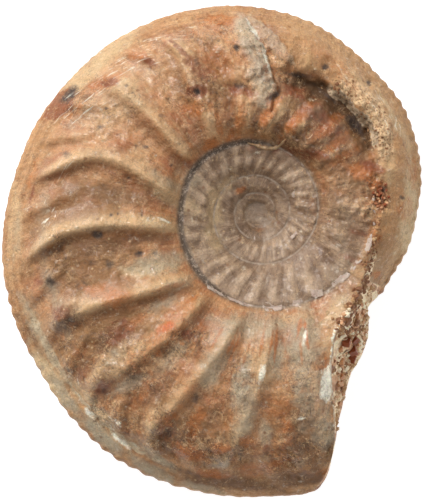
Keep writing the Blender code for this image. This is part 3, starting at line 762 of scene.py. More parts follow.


# Colours of the stone
# Iron has stained the clear calcite honey, rust and umber; the ribs' crests are painted pale
# as a highlight with painted shade below them, the oldest whorls are grey, and manganese has left dark
# spots.
# Stains and patches of painted light and shade: place on the flank, half length, half width, turn, strength
RUST = [
    (-11.3, -5.6, 2.6, 1.2, -5, 0.75), (-5.5, -9.1, 1.5, 0.8, 30, 1.0), (-4.6, -8.8, 5.0, 1.4, 51, 0.6),
    (-2.4, -5.8, 1.3, 0.35, 30, 0.8), (-8.2, -12.2, 3.2, 1.2, 35, 0.5), (17.6, 9.2, 2.2, 1.2, -20, 0.75),
    (19.3, 7.7, 1.0, 0.8, 0, 0.8), (6.7, 16.0, 2.3, 0.8, 55, 0.8), (9.9, 15.2, 2.6, 0.8, 50, 0.8),
    (13.2, 14.2, 2.6, 0.9, 42, 0.7), (0.6, 27.4, 3.0, 1.0, 0, 0.6), (1.3, 22.4, 3.0, 2.4, 0, 0.4),
    (-0.1, 12.5, 1.2, 0.9, 60, 0.75), (2.3, 13.7, 1.4, 0.5, 60, 0.6), (-1.8, 16.8, 2.2, 1.1, 0, 0.6),
    (-4.6, 14.6, 2.4, 0.25, -45, 0.45), (-2.9, 12.7, 1.8, 0.22, -52, 0.5),
    (-4.8, -4.3, 2.3, 0.35, 15, 0.5), (-2.6, -23.8, 2.8, 1.0, -20, 0.75), (1.0, -23.3, 1.4, 0.9, 0, 0.7),
    (5.3, -25.9, 2.6, 1.2, 0, 0.5), (7.7, -25.0, 2.0, 0.6, 20, 0.6), (7.9, -18.5, 2.0, 2.0, 0, 0.45),
    (8.6, -20.6, 0.9, 0.8, 0, 0.7), (13.6, -26.4, 1.6, 0.9, 0, 0.5), (5.8, -11.0, 2.2, 0.2, 80, 0.7),
    (6.8, -11.3, 2.0, 0.2, 78, 0.7), (2.4, -10.8, 2.2, 0.25, 65, 0.6), (10.2, -9.1, 1.5, 0.25, 75, 0.8),
    (10.4, -12.0, 1.9, 0.2, 95, 0.6), (3.4, 7.1, 0.9, 0.45, 30, 0.6), (5.6, 2.4, 1.0, 0.5, 0, 0.35),
    (19.3, 1.4, 0.9, 1.2, 0, 0.5), (19.7, -2.9, 0.7, 0.5, 0, 0.7), (23.0, 4.9, 1.2, 2.2, 0, 0.5),
    (24.0, 9.6, 2.4, 0.8, 95, 0.5), (-21.4, 8.8, 2.6, 0.5, 70, 0.5), (2.0, -20.0, 1.6, 0.8, 60, 0.4),
    (-2.8, -16.4, 2.2, 0.8, 50, 0.4), (15.5, 21.0, 4.0, 1.2, -48, 0.35), (4.0, -22.4, 1.0, 0.8, 0, 0.7),
    (15.0, -24.4, 1.2, 0.9, 40, 0.45), (0.6, -10.2, 2.0, 0.2, 60, 0.6), (8.6, -11.6, 1.6, 0.14, 88, 0.5),
    (-1.0, -8.2, 1.6, 0.2, 55, 0.5), (-12.5, 19.9, 2.4, 0.9, 20, 0.75), (-16.4, 16.4, 2.4, 0.5, 42, 0.5),
    (-8.6, 23.0, 2.0, 0.6, -10, 0.6), (3.4, 15.4, 0.7, 2.6, -10, 0.7), (0.8, 14.6, 0.5, 2.2, 10, 0.6),
    (15.4, 11.0, 2.4, 0.7, 30, 0.6), (14.4, 12.4, 2.2, 0.7, 35, 0.6), (-12.6, -4.8, 3.4, 0.9, 0, 0.6),
    (-7.0, -10.8, 4.0, 0.9, 45, 0.5), (-2.0, -20.2, 1.0, 2.4, -20, 0.6), (8.8, -24.4, 2.6, 1.2, 10, 0.35),
    (-5.0, -19.6, 2.2, 0.7, 50, 0.5), (-8.6, -17.6, 2.4, 0.6, 50, 0.5), (0.0, -26.4, 3.0, 0.7, -8, 0.6),
    (11.0, -9.6, 2.0, 0.22, 96, 0.9), (7.4, -11.4, 2.6, 0.2, 84, 0.8), (2.6, -11.6, 2.6, 0.2, 68, 0.7),
    (13.4, -13.6, 1.6, 0.3, 100, 0.7), (12.6, -17.6, 0.9, 1.6, 20, 0.3), (4.0, -12.2, 2.4, 0.16, 72, 0.5),
    (-9.0, -8.4, 2.0, 0.8, 35, 0.5), (-15.6, -12.0, 1.8, 0.7, 60, 0.4),
]
UMBER = [
    (12.1, 11.3, 2.4, 0.8, -15, 0.6), (9.6, 11.7, 1.4, 0.6, -10, 0.5), (13.0, 14.8, 4.6, 2.2, -40, 0.45),
    (9.6, 18.6, 2.4, 1.0, -10, 0.6), (-1.0, 20.4, 2.2, 2.0, 0, 0.4), (-15.4, -14.6, 1.4, 0.8, 45, 0.4),
    (5.6, -23.4, 2.0, 1.2, 0, 0.4), (-17.8, -7.4, 1.4, 1.1, 0, 0.6), (-20.3, -3.8, 0.9, 0.6, 0, 0.5),
    (-11.0, -9.6, 2.4, 1.3, 30, 0.55), (-12.7, -16.1, 1.8, 0.9, 50, 0.6), (-21.4, 6.5, 1.8, 0.2, 75, 0.7),
    (-12.0, 19.8, 1.2, 0.6, 20, 0.8), (-7.3, 22.2, 1.0, 0.4, -25, 0.8), (-18.2, 17.4, 2.6, 1.4, 45, 1.0),
    (-3.7, 23.6, 2.4, 0.4, -45, 0.7), (-1.9, 21.6, 2.6, 0.9, -50, 0.6), (-1.7, 18.6, 1.4, 1.0, 0, 0.95),
    (3.6, 18.8, 2.0, 0.8, -10, 0.65), (-2.9, 10.2, 0.9, 0.6, -30, 0.55), (-5.5, -21.5, 1.3, 0.9, 0, 0.5),
    (7.0, 18.0, 1.2, 0.5, 40, 0.6), (18.9, 9.8, 1.6, 0.8, -20, 0.7), (19.9, 6.0, 1.6, 0.9, 85, 0.7),
    (-3.0, -9.9, 0.9, 0.7, 0, 0.6), (7.9, 12.4, 0.5, 1.3, -35, 0.5), (4.6, 12.4, 0.5, 1.2, -10, 0.5),
    (17.4, 2.0, 2.0, 0.4, -15, 0.4), (16.6, -1.2, 2.0, 0.4, -25, 0.4),
]
DARK = [
    (-13.3, 1.8, 0.7, 0.5, 0, 0.8), (-11.8, 4.1, 0.3, 0.26, 0, 0.7), (-11.0, 4.2, 0.22, 0.22, 0, 0.6),
    (-8.2, 4.2, 0.3, 0.42, 0, 0.6), (-8.5, -0.5, 0.6, 0.42, 0, 0.7), (-6.7, -0.5, 0.4, 0.3, 0, 0.6),
    (-12.0, -1.7, 0.7, 0.55, 30, 0.55), (-19.0, -3.8, 0.8, 0.6, 20, 0.7), (-14.2, -1.4, 1.0, 0.6, 0, 0.4),
    (-9.8, 8.5, 0.3, 0.26, 0, 0.7), (-10.9, 8.0, 0.2, 0.2, 0, 0.6), (-8.9, 12.2, 0.26, 0.22, 0, 0.6),
    (-7.8, 12.1, 0.36, 0.26, 0, 0.6), (-4.8, 10.0, 0.26, 0.26, 0, 0.6), (-12.5, 16.7, 0.2, 0.2, 0, 0.7),
    (-13.6, 15.6, 0.3, 0.22, 0, 0.5), (-13.1, 14.5, 0.6, 0.3, 10, 0.55), (-10.1, 19.4, 0.24, 0.2, 0, 0.6),
    (-9.4, 18.5, 0.3, 0.22, 0, 0.6), (-6.0, 15.8, 0.4, 0.26, 0, 0.55), (-1.8, 22.3, 0.4, 0.7, 0, 0.5),
    (-1.7, 18.6, 0.4, 0.45, 0, 0.8), (-17.2, 11.3, 0.8, 0.45, 0, 0.5), (-17.0, 18.5, 1.5, 0.7, 40, 0.8),
    (2.9, 23.9, 0.38, 0.45, 0, 0.8), (3.3, 19.3, 0.7, 0.4, 0, 0.6), (7.2, 18.1, 1.1, 0.35, 40, 0.7),
    (-1.9, -17.2, 0.9, 0.55, 70, 0.5), (-5.2, -21.5, 0.8, 0.6, 0, 0.5), (18.7, 20.0, 0.4, 0.5, 0, 0.7),
    (13.4, 21.7, 0.5, 0.35, 30, 0.75), (20.1, 6.6, 1.3, 0.5, 85, 0.65), (22.5, 6.2, 0.5, 0.35, 0, 0.6),
    (3.4, -24.2, 1.0, 0.15, 80, 0.55), (-15.2, -4.0, 1.4, 0.9, 40, 0.35), (-13.6, 11.6, 0.6, 0.5, 0, 0.3),
    (17.0, 14.8, 1.7, 0.8, -50, 0.85), (10.2, 20.7, 1.9, 0.3, -5, 0.7), (13.6, 18.4, 2.4, 0.25, -40, 0.5),
    (-17.2, -14.0, 0.5, 1.2, 20, 0.45), (-12.6, -17.0, 0.5, 1.2, 0, 0.4),
    (-15.0, -10.2, 1.4, 0.4, 20, 0.4), (-6.6, 9.4, 0.3, 0.3, 0, 0.4), (-16.0, 2.6, 0.7, 0.4, 0, 0.3),
    (-16.6, -8.2, 0.8, 0.6, 30, 0.5), (-9.9, -20.2, 1.2, 0.4, -40, 0.4),
    (-3.6, -26.0, 2.2, 0.5, -20, 0.45), (14.4, -22.6, 1.0, 0.8, 60, 0.4),
]
GREY = [
    (4.6, -9.0, 6.5, 2.0, 0, 0.6), (10.6, -10.8, 4.5, 2.2, 80, 0.7), (-3.8, -4.0, 2.6, 0.9, 20, 0.5),
    (0.4, -13.2, 4.0, 1.6, 60, 0.55), (11.8, -18.0, 4.6, 2.2, 80, 0.6), (13.0, -21.6, 2.0, 1.4, 0, 0.7),
    (-6.2, -1.4, 4.2, 1.4, 10, 0.6), (-5.2, 8.0, 3.2, 0.8, -30, 0.5), (16.2, -3.5, 5.0, 3.0, 60, 0.4),
    (-2.6, 8.4, 1.8, 1.2, -45, 0.5), (4.0, -19.0, 1.6, 4.0, -12, 0.6), (-13.4, 2.6, 3.0, 0.8, 0, 0.3),
    (-20.0, 4.0, 5.0, 1.0, 88, 0.35), (-18.4, -6.0, 6.0, 1.2, 108, 0.5), (6.0, -24.8, 1.0, 1.8, 0, 0.4),
    (15.2, 4.0, 1.8, 5.0, 8, 0.3), (-6.4, -24.6, 3.0, 0.7, -35, 0.6), (-17.6, -17.0, 4.0, 0.9, -58, 0.6),
    (-13.2, -21.8, 4.0, 1.0, -46, 0.8), (-7.0, -26.2, 4.0, 0.9, -32, 0.7),
    (-1.4, -28.2, 3.4, 0.7, -14, 0.6), (-9.6, -15.6, 2.6, 1.0, 30, 0.6), (-4.4, -12.6, 3.4, 1.0, 50, 0.5),
    (-21.6, -8.0, 4.4, 0.9, -66, 0.5), (-23.2, 2.0, 4.0, 0.6, 88, 0.4), (-11.4, -12.4, 2.0, 1.0, 35, 0.5),
    (3.4, -15.8, 1.2, 3.6, -8, 0.8), (10.6, -15.8, 1.5, 4.4, 0, 0.65), (13.0, -20.6, 1.3, 3.0, 0, 0.7),
    (6.2, -21.6, 1.0, 2.2, 10, 0.6), (0.6, -25.0, 1.6, 0.8, 0, 0.6), (10.4, -24.6, 1.2, 1.0, 0, 0.5),
    (7.6, -12.6, 1.2, 3.0, 0, 0.6), (-5.6, -6.4, 2.6, 0.8, 20, 0.5),
]
# White patches: partly white calcite, partly painted glints
WHITE_AND_GLINTS = [
    (13.5, -15.4, 2.2, 0.75, 80, 1.0), (14.3, -11.3, 1.6, 0.25, 88, 0.5),
    (10.8, -10.1, 1.3, 0.25, 80, 0.65), (5.8, -14.6, 1.6, 0.4, 75, 0.65),
    (10.3, -19.7, 0.8, 0.2, 15, 0.7), (-19.7, 3.4, 0.9, 0.12, 40, 0.7), (-5.6, 3.5, 1.3, 0.14, -25, 0.7),
    (-11.0, -20.4, 0.9, 0.25, -50, 0.5), (-14.4, -19.4, 1.8, 0.3, -50, 0.6),
    (-10.8, -22.6, 1.8, 0.35, -42, 0.6), (5.0, 26.0, 1.8, 0.24, -58, 0.8),
    (6.3, 22.9, 2.4, 0.24, -74, 0.8),
]
# Pale patches: partly paler stone, partly painted light where the stone is to look more brightly lit
PALE_AND_PAINTED_LIGHT = [
    (5.8, -13.8, 2.2, 3.2, 0, 0.5), (13.4, -10.0, 1.8, 3.5, 0, 0.42), (14.6, -7.0, 2.6, 1.5, 45, 0.6),
    (-7.4, -2.2, 3.6, 1.1, 8, 0.7), (-11.0, 18.0, 9.0, 3.4, 42, 0.4), (-23.4, 3.4, 6.0, 1.2, 88, 0.45),
    (18.0, 18.6, 4.6, 1.6, -50, 0.5), (22.4, 1.5, 4.6, 0.9, 85, 0.35), (-4.4, 6.0, 4.0, 1.2, -28, 0.55),
    (-6.0, 3.0, 3.6, 0.9, -15, 0.6), (-14.0, 22.0, 9.0, 1.3, 42, 0.65), (3.6, -20.5, 1.2, 2.4, -10, 0.4),
    (-0.4, -14.5, 0.9, 3.0, -35, 0.45), (-9.4, -12.2, 3.0, 0.7, 35, 0.6),
    (-17.0, 13.0, 3.0, 4.6, -50, 0.15), (20.6, 10.0, 3.0, 1.2, 95, 0.5), (22.4, 14.4, 3.6, 0.7, -58, 0.5),
    (-6.0, -13.0, 4.0, 0.8, 42, 0.4), (-13.6, -18.6, 5.0, 0.7, -50, 0.6),
    (-8.4, 11.2, 1.8, 1.0, -50, 0.4), (0.2, 5.0, 3.2, 1.1, 90, 0.6), (1.6, 7.6, 2.2, 0.9, 50, 0.45),
    (0.2, 1.4, 2.2, 1.0, -70, 0.5), (13.4, 13.0, 1.6, 0.5, -40, 0.3), (21.0, 16.8, 3.0, 0.35, -62, 0.6),
    (19.4, 15.2, 3.0, 0.3, -60, 0.5), (23.6, 10.8, 3.0, 0.4, -80, 0.5), (10.0, -8.0, 2.6, 0.8, 5, 0.4),
    (23.4, 4.0, 6.0, 1.1, 86, 1.0), (-19.0, -15.4, 5.0, 1.0, -57, 0.9), (15.4, -6.0, 1.4, 0.8, 45, 0.4),
    (15.7, -17.8, 3.6, 1.1, 80, 0.9), (17.9, -13.0, 3.0, 0.9, 70, 0.9), (18.8, -7.4, 1.4, 1.8, 0, 0.9),
    (15.2, -12.6, 2.4, 0.5, 88, 0.7),
]
# Olive patches: partly olive-brown stone, partly painted shade towards the left, lower and right edges
OLIVES_AND_SHADE = [
    (-15.6, 1.0, 8.0, 7.0, 90, 1.0), (-12.0, -9.0, 8.0, 5.0, 40, 0.9), (20.0, -3.0, 5.0, 2.6, 65, 0.9),
    (15.6, 1.6, 6.0, 3.0, 90, 0.6), (17.6, 9.0, 3.0, 2.4, 0, 0.8), (-2.0, -22.0, 12.0, 4.6, -20, 0.8),
    (11.0, -23.0, 6.0, 5.0, 0, 0.7), (-17.0, -13.0, 7.0, 3.0, -60, 0.7), (3.0, -15.0, 6.0, 4.0, 0, 0.4),
    (12.0, 14.6, 6.0, 3.4, -40, 1.0), (-1.0, 20.0, 4.0, 4.0, 0, 0.7), (23.6, 6.0, 9.0, 1.2, 88, 0.6),
    (21.0, -3.6, 4.0, 1.6, 70, 0.6), (12.0, 21.8, 10.0, 1.2, -38, 0.5), (8.0, 12.4, 6.0, 2.0, -20, 0.5),
    (-20.0, 8.0, 5.0, 3.0, 80, 0.4), (-12.0, 6.4, 5.0, 1.4, -8, 0.9), (9.0, -20.0, 3.0, 5.0, 0, 0.5),
]
# Patches of painted shade, laid in deep brown where the stone is to look less lit
DEEP_PAINTED_SHADE = [
    (10.6, 12.2, 4.8, 2.2, -35, 0.8), (-2.6, -23.0, 4.6, 2.4, -25, 0.6),
    (10.3, -21.0, 3.0, 4.5, 10, 0.55), (13.6, 15.6, 4.8, 1.8, -42, 0.85), (2.2, -27.4, 7.0, 1.0, -8, 0.9),
    (10.6, -27.0, 4.4, 1.0, 5, 0.9), (-8.6, -23.8, 3.6, 0.7, -38, 0.6), (-11.6, -10.0, 3.4, 1.6, 30, 0.6),
    (-6.6, -16.4, 3.4, 1.3, 42, 0.55), (-0.4, -20.0, 3.0, 1.4, 60, 0.5), (13.0, 5.0, 3.0, 4.0, 0, 0.4),
    (0.8, 18.0, 3.4, 1.6, -60, 0.4), (-17.4, -7.8, 2.6, 1.4, 40, 0.65), (14.6, 9.4, 3.0, 1.0, -20, 0.4),
    (-12.6, 0.4, 5.4, 1.1, 6, 0.65), (-11.8, 6.6, 5.4, 1.3, -8, 0.55), (12.6, -0.8, 3.0, 1.7, 0, 0.5),
    (6.6, 11.6, 3.4, 1.0, -4, 0.5), (16.6, 0.0, 1.2, 5.0, -10, 0.45), (14.6, -3.6, 2.6, 2.4, 0, 0.5),
    (-4.0, 14.0, 5.0, 1.0, -44, 0.4), (-17.0, -1.8, 4.0, 2.0, 80, 0.35), (9.6, 19.2, 2.6, 0.9, -10, 0.75),
    (19.4, -4.4, 3.0, 0.8, 60, 0.35), (-19.6, -1.0, 2.4, 1.4, 80, 0.35),
    (-21.4, -10.4, 3.2, 0.6, -60, 0.5), (-14.6, -13.4, 2.4, 1.2, 40, 0.4),
    (10.0, 10.0, 2.6, 0.9, -30, 0.4), (15.0, 12.0, 2.6, 1.3, -30, 0.75), (17.6, 12.0, 1.4, 1.6, -40, 0.7),
    (10.2, -0.4, 2.6, 0.9, 50, 0.5), (-1.6, -18.6, 2.2, 1.0, 60, 0.5), (-12.4, -14.4, 3.0, 0.8, 38, 0.5),
    (-15.2, 15.6, 4.0, 0.8, 30, 0.4), (-9.0, 15.0, 4.4, 0.8, -10, 0.2), (-12.4, 11.6, 3.4, 0.8, 5, 0.35),
    (8.6, 15.4, 0.5, 1.8, -18, 0.5), (11.6, 14.4, 0.5, 1.8, -34, 0.5), (5.0, 15.2, 0.5, 1.8, -4, 0.5),
    (2.2, 15.0, 0.5, 2.0, 14, 0.5),
]
# Where thin streaks of painted highlight lie along the whorl
SHEEN = [
    (-8.8, 22.6, 3.6, 1.5, 25, 1.0), (-15.8, 16.8, 3.2, 2.0, 42, 1.0), (-12.0, 20.4, 3.6, 1.2, 35, 0.8),
    (-19.0, 4.6, 2.2, 1.6, 60, 0.8), (-2.6, 26.6, 3.0, 0.7, 4, 0.8), (-17.4, 9.4, 2.6, 1.2, 60, 0.6),
    (-6.4, 3.4, 1.6, 0.6, -20, 0.7), (-6.0, 24.8, 3.0, 0.8, 12, 0.8), (-14.6, -17.6, 3.4, 0.8, -52, 0.8),
    (-10.2, -21.6, 3.0, 0.8, -40, 0.8), (20.6, 16.2, 4.0, 1.6, -58, 0.7),
    (16.0, 20.4, 3.0, 1.0, -45, 0.5), (23.0, 8.0, 3.0, 0.9, 88, 0.5), (14.6, -8.0, 1.6, 0.6, 50, 0.7),
    (6.0, 27.0, 2.4, 0.5, -30, 0.7),
]
STAINS_AND_PAINTED_LIGHT = {
    "olive": OLIVES_AND_SHADE, "pale": PALE_AND_PAINTED_LIGHT, "deep": DEEP_PAINTED_SHADE, "grey": GREY, "rust": RUST, "umber": UMBER,
    "white_and_glints": WHITE_AND_GLINTS, "dark": DARK, "sheen": SHEEN,
}
# The underside's stains and painted light and shade are those of the upper side, turned by this much
UNDER_TURN = 150.0


def colour_of(red, green, blue):
    """A shader colour from how bright it looks in red, green and blue, out of 255."""
    return tuple((v / 255) ** 2.2 for v in (red, green, blue)) + (1.0,)


# Sockets that share one name are told apart by number
POSITIONS = {"Vector_001": 1, "Vector_002": 2}


def fill(socket, value):
    """Set a shader socket, or feed it from another node."""
    if isinstance(value, Shade):
        socket.id_data.links.new(value.socket, socket)
    else:
        socket.default_value = value


class Shade:
    """What a shader node gives out, so that sums can be written as they are read."""

    def __init__(self, socket):
        self.socket = socket

    def worked(self, operation, other=0.0):
        made = self.socket.id_data.nodes.new("ShaderNodeMath")
        made.operation = operation
        fill(made.inputs[0], self)
        fill(made.inputs[1], other)
        return Shade(made.outputs[0])

    def __add__(self, other):
        return self.worked("ADD", other)

    def __sub__(self, other):
        return self.worked("SUBTRACT", other)

    def __mul__(self, other):
        return self.worked("MULTIPLY", other)

    def __abs__(self):
        return self.worked("ABSOLUTE")

    def spread(self, low, high, least=0.0, most=1.0):
        """Stretched smoothly, from least at low to most at high."""
        made = self.socket.id_data.nodes.new("ShaderNodeMapRange")
        made.interpolation_type = "SMOOTHSTEP"
        for socket, value in zip(made.inputs, (self, low, high, least, most)):
            fill(socket, value)
        return Shade(made.outputs[0])


class Finish:
    """A finish as it is mixed: a ground colour, and the colours laid over it in turn."""

    def __init__(self, name, ground):
        self.material = bpy.data.materials.new(name)
        self.material.use_nodes = True
        self.tree = self.material.node_tree
        self.shader = self.tree.nodes["Principled BSDF"]
        self.colour = ground

    def put(self, kind, settings=(), output=0, **sockets):
        """Add a shader node; each socket is given a value or another node's output."""
        made = self.tree.nodes.new("ShaderNode" + kind)
        for name, value in dict(settings).items():
            setattr(made, name, value)
        for name, value in sockets.items():
            fill(made.inputs[POSITIONS[name] if name in POSITIONS else name.replace("_", " ")], value)
        return Shade(made.outputs[output])

    def mix(self, share, under, over, blend="MIX"):
        """One colour laid over another by a share from 0 to 1."""
        made = self.tree.nodes.new("ShaderNodeMix")
        made.data_type = "RGBA"
        made.blend_type = blend
        for number, value in ((0, share), (6, under), (7, over)):
            fill(made.inputs[number], value)
        return Shade(made.outputs[2])

    def lay(self, share, over):
        """Lay a colour over all that is there already."""
        self.colour = self.mix(share, self.colour, over)

    def place(self):
        return self.put("TexCoord", output="Object")

    def mark(self, name):
        return self.put("Attribute", {"attribute_name": name}, "Fac")

    def speckle(self, size, detail=3.0, roughness=0.55):
        """Cloudy grain of about that size in mm, from 0 to 1."""
        scale = 1 / (size * MM)
        return self.put("TexNoise", Vector=self.place(), Scale=scale, Detail=detail, Roughness=roughness)

    def patchy(self, name, size, edge=0.18, rough=0.7, strength=1.0):
        """A mark whose edge is broken up by grain of that size."""
        grain = (self.speckle(size, 4.0, 0.6) - 0.5) * rough
        return (self.mark(name) * strength + grain).spread(0.5 - edge, 0.5 + edge)

    def wisps(self, size, width, shift):
        """Thin wandering lines through the stone, from 0 to 1."""
        place = self.put("Mapping", Vector=self.place(), Location=(shift * MM, 0, 0))
        field = self.put("TexNoise", Vector=place, Scale=1 / (size * MM), Detail=3.0, Distortion=1.8)
        return abs(field - 0.5).spread(0.0, width, 1.0, 0.0)

    def dots(self, spacing, size, share):
        """Scattered small dots, from 0 to 1; the share says how many places have one."""
        cells = {"Vector": self.place(), "Scale": 1 / (spacing * MM)}
        own = self.put("TexVoronoi", output="Color", **cells)
        picked = self.put("SeparateColor", output="Red", Color=own).worked("LESS_THAN", share)
        distance = self.put("TexVoronoi", output="Distance", **cells)
        return (distance - picked * (size / spacing)).spread(-0.12, 0.0, 1.0, 0.0)

    def cells(self, size, sway, reach):
        """Distance to the nearest wall of many small cells, whose walls sway."""
        off = self.put("TexNoise", output="Color", Vector=self.place(), Scale=1 / (sway * MM))
        place = self.put(
            "VectorMath", {"operation": "MULTIPLY_ADD"}, Vector=off,
            Vector_001=(reach * MM,) * 3, Vector_002=self.place(),
        )
        walls = {"feature": "DISTANCE_TO_EDGE"}
        return self.put("TexVoronoi", walls, "Distance", Vector=place, Scale=1 / (size * MM))

    def drawn(self, size, along, across, lean=0.0):
        """Grain that is drawn out along the whorl or across it, from 0 to 1. The lean is
        how far its lines move in from the keel with each degree."""
        growth = self.mark("growth")
        inset = growth * lean + self.mark("inset")
        place = self.put("CombineXYZ", X=growth * (0.35 * along), Y=inset * across)
        return self.put("TexNoise", Vector=place, Scale=1 / size, Detail=5.0, Roughness=0.6)

    def done(self, gloss, relief, strength, depth):
        """Join the colour, the roughness and the small relief to the shader."""
        bumps = self.put("Bump", Height=relief, Strength=strength, Distance=depth * MM)
        for name, value in (("Base Color", self.colour), ("Roughness", gloss), ("Normal", bumps)):
            fill(self.shader.inputs[name], value)
        return self.material


HONEY = colour_of(196, 138, 90)
AMBER = colour_of(174, 108, 66)
PALE_HONEY = colour_of(214, 164, 118)
# Cream of mottles and veinlets, also painted on the rib crests as a highlight
CREAM_AND_CREST_HIGHLIGHT = colour_of(224, 184, 136)
# Brown of dark grain and specks, also painted as shade below the rib crests
BROWN_AND_LEE_SHADE = colour_of(128, 80, 40)
# Deep brown of mottles and joints, also painted as shade
DEEP_BROWN_AND_SHADE = colour_of(104, 68, 38)
OLIVE_AND_SHADE = colour_of(136, 98, 54)
# Pale cream of grain, specks and the rim, also painted as light in the pale patches
PALE_CREAM_AND_PAINTED_LIGHT = colour_of(214, 182, 138)
ASH = colour_of(178, 160, 132)
UMBILICUS = colour_of(124, 96, 72)
UMBILICUS_PALE = colour_of(200, 170, 140)
BAND_TAN = colour_of(190, 148, 102)
CRUST_CREAM = colour_of(228, 190, 146)
PORE_BROWN = colour_of(152, 106, 72)
# Painted shade in the hollow, and painted light on its wall
HOLLOW_SHADE = colour_of(92, 64, 38)
WALL_LIGHT = colour_of(214, 186, 152)
VEIN_ASH = colour_of(190, 166, 138)
GROOVE_ASH = colour_of(206, 188, 156)
KEEL_TAN = colour_of(204, 158, 110)
KEEL_BROWN = colour_of(126, 90, 54)
RUST_ORANGE = colour_of(186, 106, 44)
RUST_CORE = colour_of(212, 100, 38)
UMBER_RED = colour_of(132, 66, 32)
MANGANESE = colour_of(74, 60, 52)
# White of calcite, also painted as glints
CALCITE_WHITE_AND_GLINT = colour_of(255, 250, 228)
MATRIX_CREAM = colour_of(255, 230, 190)
MATRIX_BROWN = colour_of(138, 92, 60)
CRYSTAL_BROWN = colour_of(208, 158, 118)
SEAM_GREY = colour_of(100, 84, 70)
THREAD_LILAC = colour_of(184, 162, 142)
VEINLET = colour_of(70, 48, 32)


def stone_finish():
    stone = Finish("polished_stone", HONEY)
    mark, speckle, patchy, drawn = stone.mark, stone.speckle, stone.patchy, stone.drawn
    crest = mark("crest")
    crumpled = mark("rough")
    fine = speckle(0.45, 5.0, 0.65)
    cloud = speckle(1.7, 6.0, 0.65)
    # The honey stone, clouded with paler and redder stone
    stone.lay(speckle(3.5, 6.0, 0.62).spread(0.42, 0.6), AMBER)
    stone.lay(cloud.spread(0.47, 0.64) * (crumpled * 0.4 + 0.5), PALE_HONEY)
    striae = drawn(0.55, 1.0, 0.1)
    stone.lay(striae.spread(0.5, 0.7, 0.0, 0.3), PALE_CREAM_AND_PAINTED_LIGHT)
    stone.lay(striae.spread(0.5, 0.34, 0.0, 0.28), BROWN_AND_LEE_SHADE)
    fibres = drawn(0.24, 1.0, 0.16)
    coarse = crumpled * 0.6 + 0.35
    stone.lay(fibres.spread(0.54, 0.64, 0.0, 0.5) * coarse, PALE_CREAM_AND_PAINTED_LIGHT)
    stone.lay(fibres.spread(0.46, 0.38, 0.0, 0.5) * coarse, BROWN_AND_LEE_SHADE)
    # Olive-brown patches, partly painted shade
    stone.lay(patchy("olive", 2.4, 0.5, 0.8) * 0.7, OLIVE_AND_SHADE)
    # Painted highlight: the rib crests laid pale cream
    stone.lay((fine * 0.5 + crest * 0.8).spread(0.5, 1.15, 0.0, 0.75), CREAM_AND_CREST_HIGHLIGHT)
    # The keel, with lines along it
    belt = drawn(0.6, 0.07, 1.0)
    keel = stone.mix((fine * 0.4 + belt).spread(0.5, 0.95), KEEL_TAN, KEEL_BROWN)
    stone.lay(patchy("keel", 2.6, 0.5, 0.8) * 0.6, keel)
    # The older parts
    stone.lay(mark("band") * 0.5, BAND_TAN)
    # The umbilicus is grey, with its rib crests painted paler as a highlight
    ring = speckle(2.0, 5.0) * 1.4 + crest * 0.5 + drawn(0.8, 1.0, 0.3) * 0.9
    stone.lay(mark("inner"), stone.mix(ring.spread(0.9, 1.85), UMBILICUS, UMBILICUS_PALE))
    # Painted shade: brown laid on the forward side of each rib, below its crest
    stone.lay((cloud * 0.5 + mark("lee_shade")).spread(0.45, 1.25, 0.0, 0.62), BROWN_AND_LEE_SHADE)
    # Patches of paler, greyer and darker stone; the pale ones are partly painted light and the dark ones
    # painted shade
    stone.lay(patchy("pale", 1.0, 0.45), PALE_CREAM_AND_PAINTED_LIGHT)
    stone.lay(patchy("grey", 1.2, 0.4), ASH)
    stone.lay(patchy("deep", 1.4, 0.5) * 0.8, DEEP_BROWN_AND_SHADE)
    groove = mark("groove") * belt.spread(0.35, 0.6) * cloud.spread(0.4, 0.6, 0.4, 1.0)
    stone.lay(groove.spread(0.0, 0.6, 0.0, 0.7), GROOVE_ASH)
    # The porous band, the hollow with its painted shade and its wall with painted light, and the vein
    cells = stone.cells(0.46, 0.9, 0.7)
    crust = stone.mix((fine * 0.5 + cells).spread(0.34, 0.64), CRUST_CREAM, PORE_BROWN)
    stone.lay(patchy("crust", 0.8, 0.3), crust)
    stone.lay((fine * mark("pore")).spread(0.2, 0.55, 0.0, 0.65), PORE_BROWN)
    stone.lay(patchy("hollow", 1.0, 0.5, 0.5, 1.2), HOLLOW_SHADE)
    wall = stone.mix(fine.spread(0.45, 0.7), WALL_LIGHT, HOLLOW_SHADE)
    stone.lay(patchy("wall", 0.8, 0.3, 0.4, 1.3), wall)
    stone.lay(patchy("tongue", 1.0, 0.4, 0.7) * 0.6, VEIN_ASH)
    stone.lay(patchy("vein", 1.0, 0.4, 0.4), stone.mix(fine.spread(0.45, 0.7), VEIN_ASH, ASH))
    # The crumpled places are mottled rust, cream and dark
    mottle = speckle(2.4, 6.0, 0.6)
    stone.lay(mottle.spread(0.52, 0.62, 0.0, 0.7) * crumpled, DEEP_BROWN_AND_SHADE)
    stone.lay(mottle.spread(0.46, 0.38, 0.0, 0.6) * crumpled, CREAM_AND_CREST_HIGHLIGHT)
    stone.lay(speckle(1.6, 5.0, 0.6).spread(0.54, 0.64, 0.0, 0.5) * crumpled, RUST_ORANGE)
    # Stains
    torn = speckle(0.9, 6.0, 0.7).spread(0.3, 0.62, 0.15, 1.0)
    stone.lay(patchy("rust", 0.9, 0.38, 1.3, 1.1) * 0.72, RUST_ORANGE)
    stone.lay(mark("rust").spread(0.7, 1.1) * torn, RUST_CORE)
    stone.lay(patchy("umber", 0.8, 0.36, 1.2, 1.1) * 0.8, UMBER_RED)
    # White calcite, partly painted glints
    stone.lay(patchy("white_and_glints", 0.9, 0.32, 1.9) * 0.85, CALCITE_WHITE_AND_GLINT)
    stone.lay(patchy("dark", 0.5, 0.4, 0.9), MANGANESE)
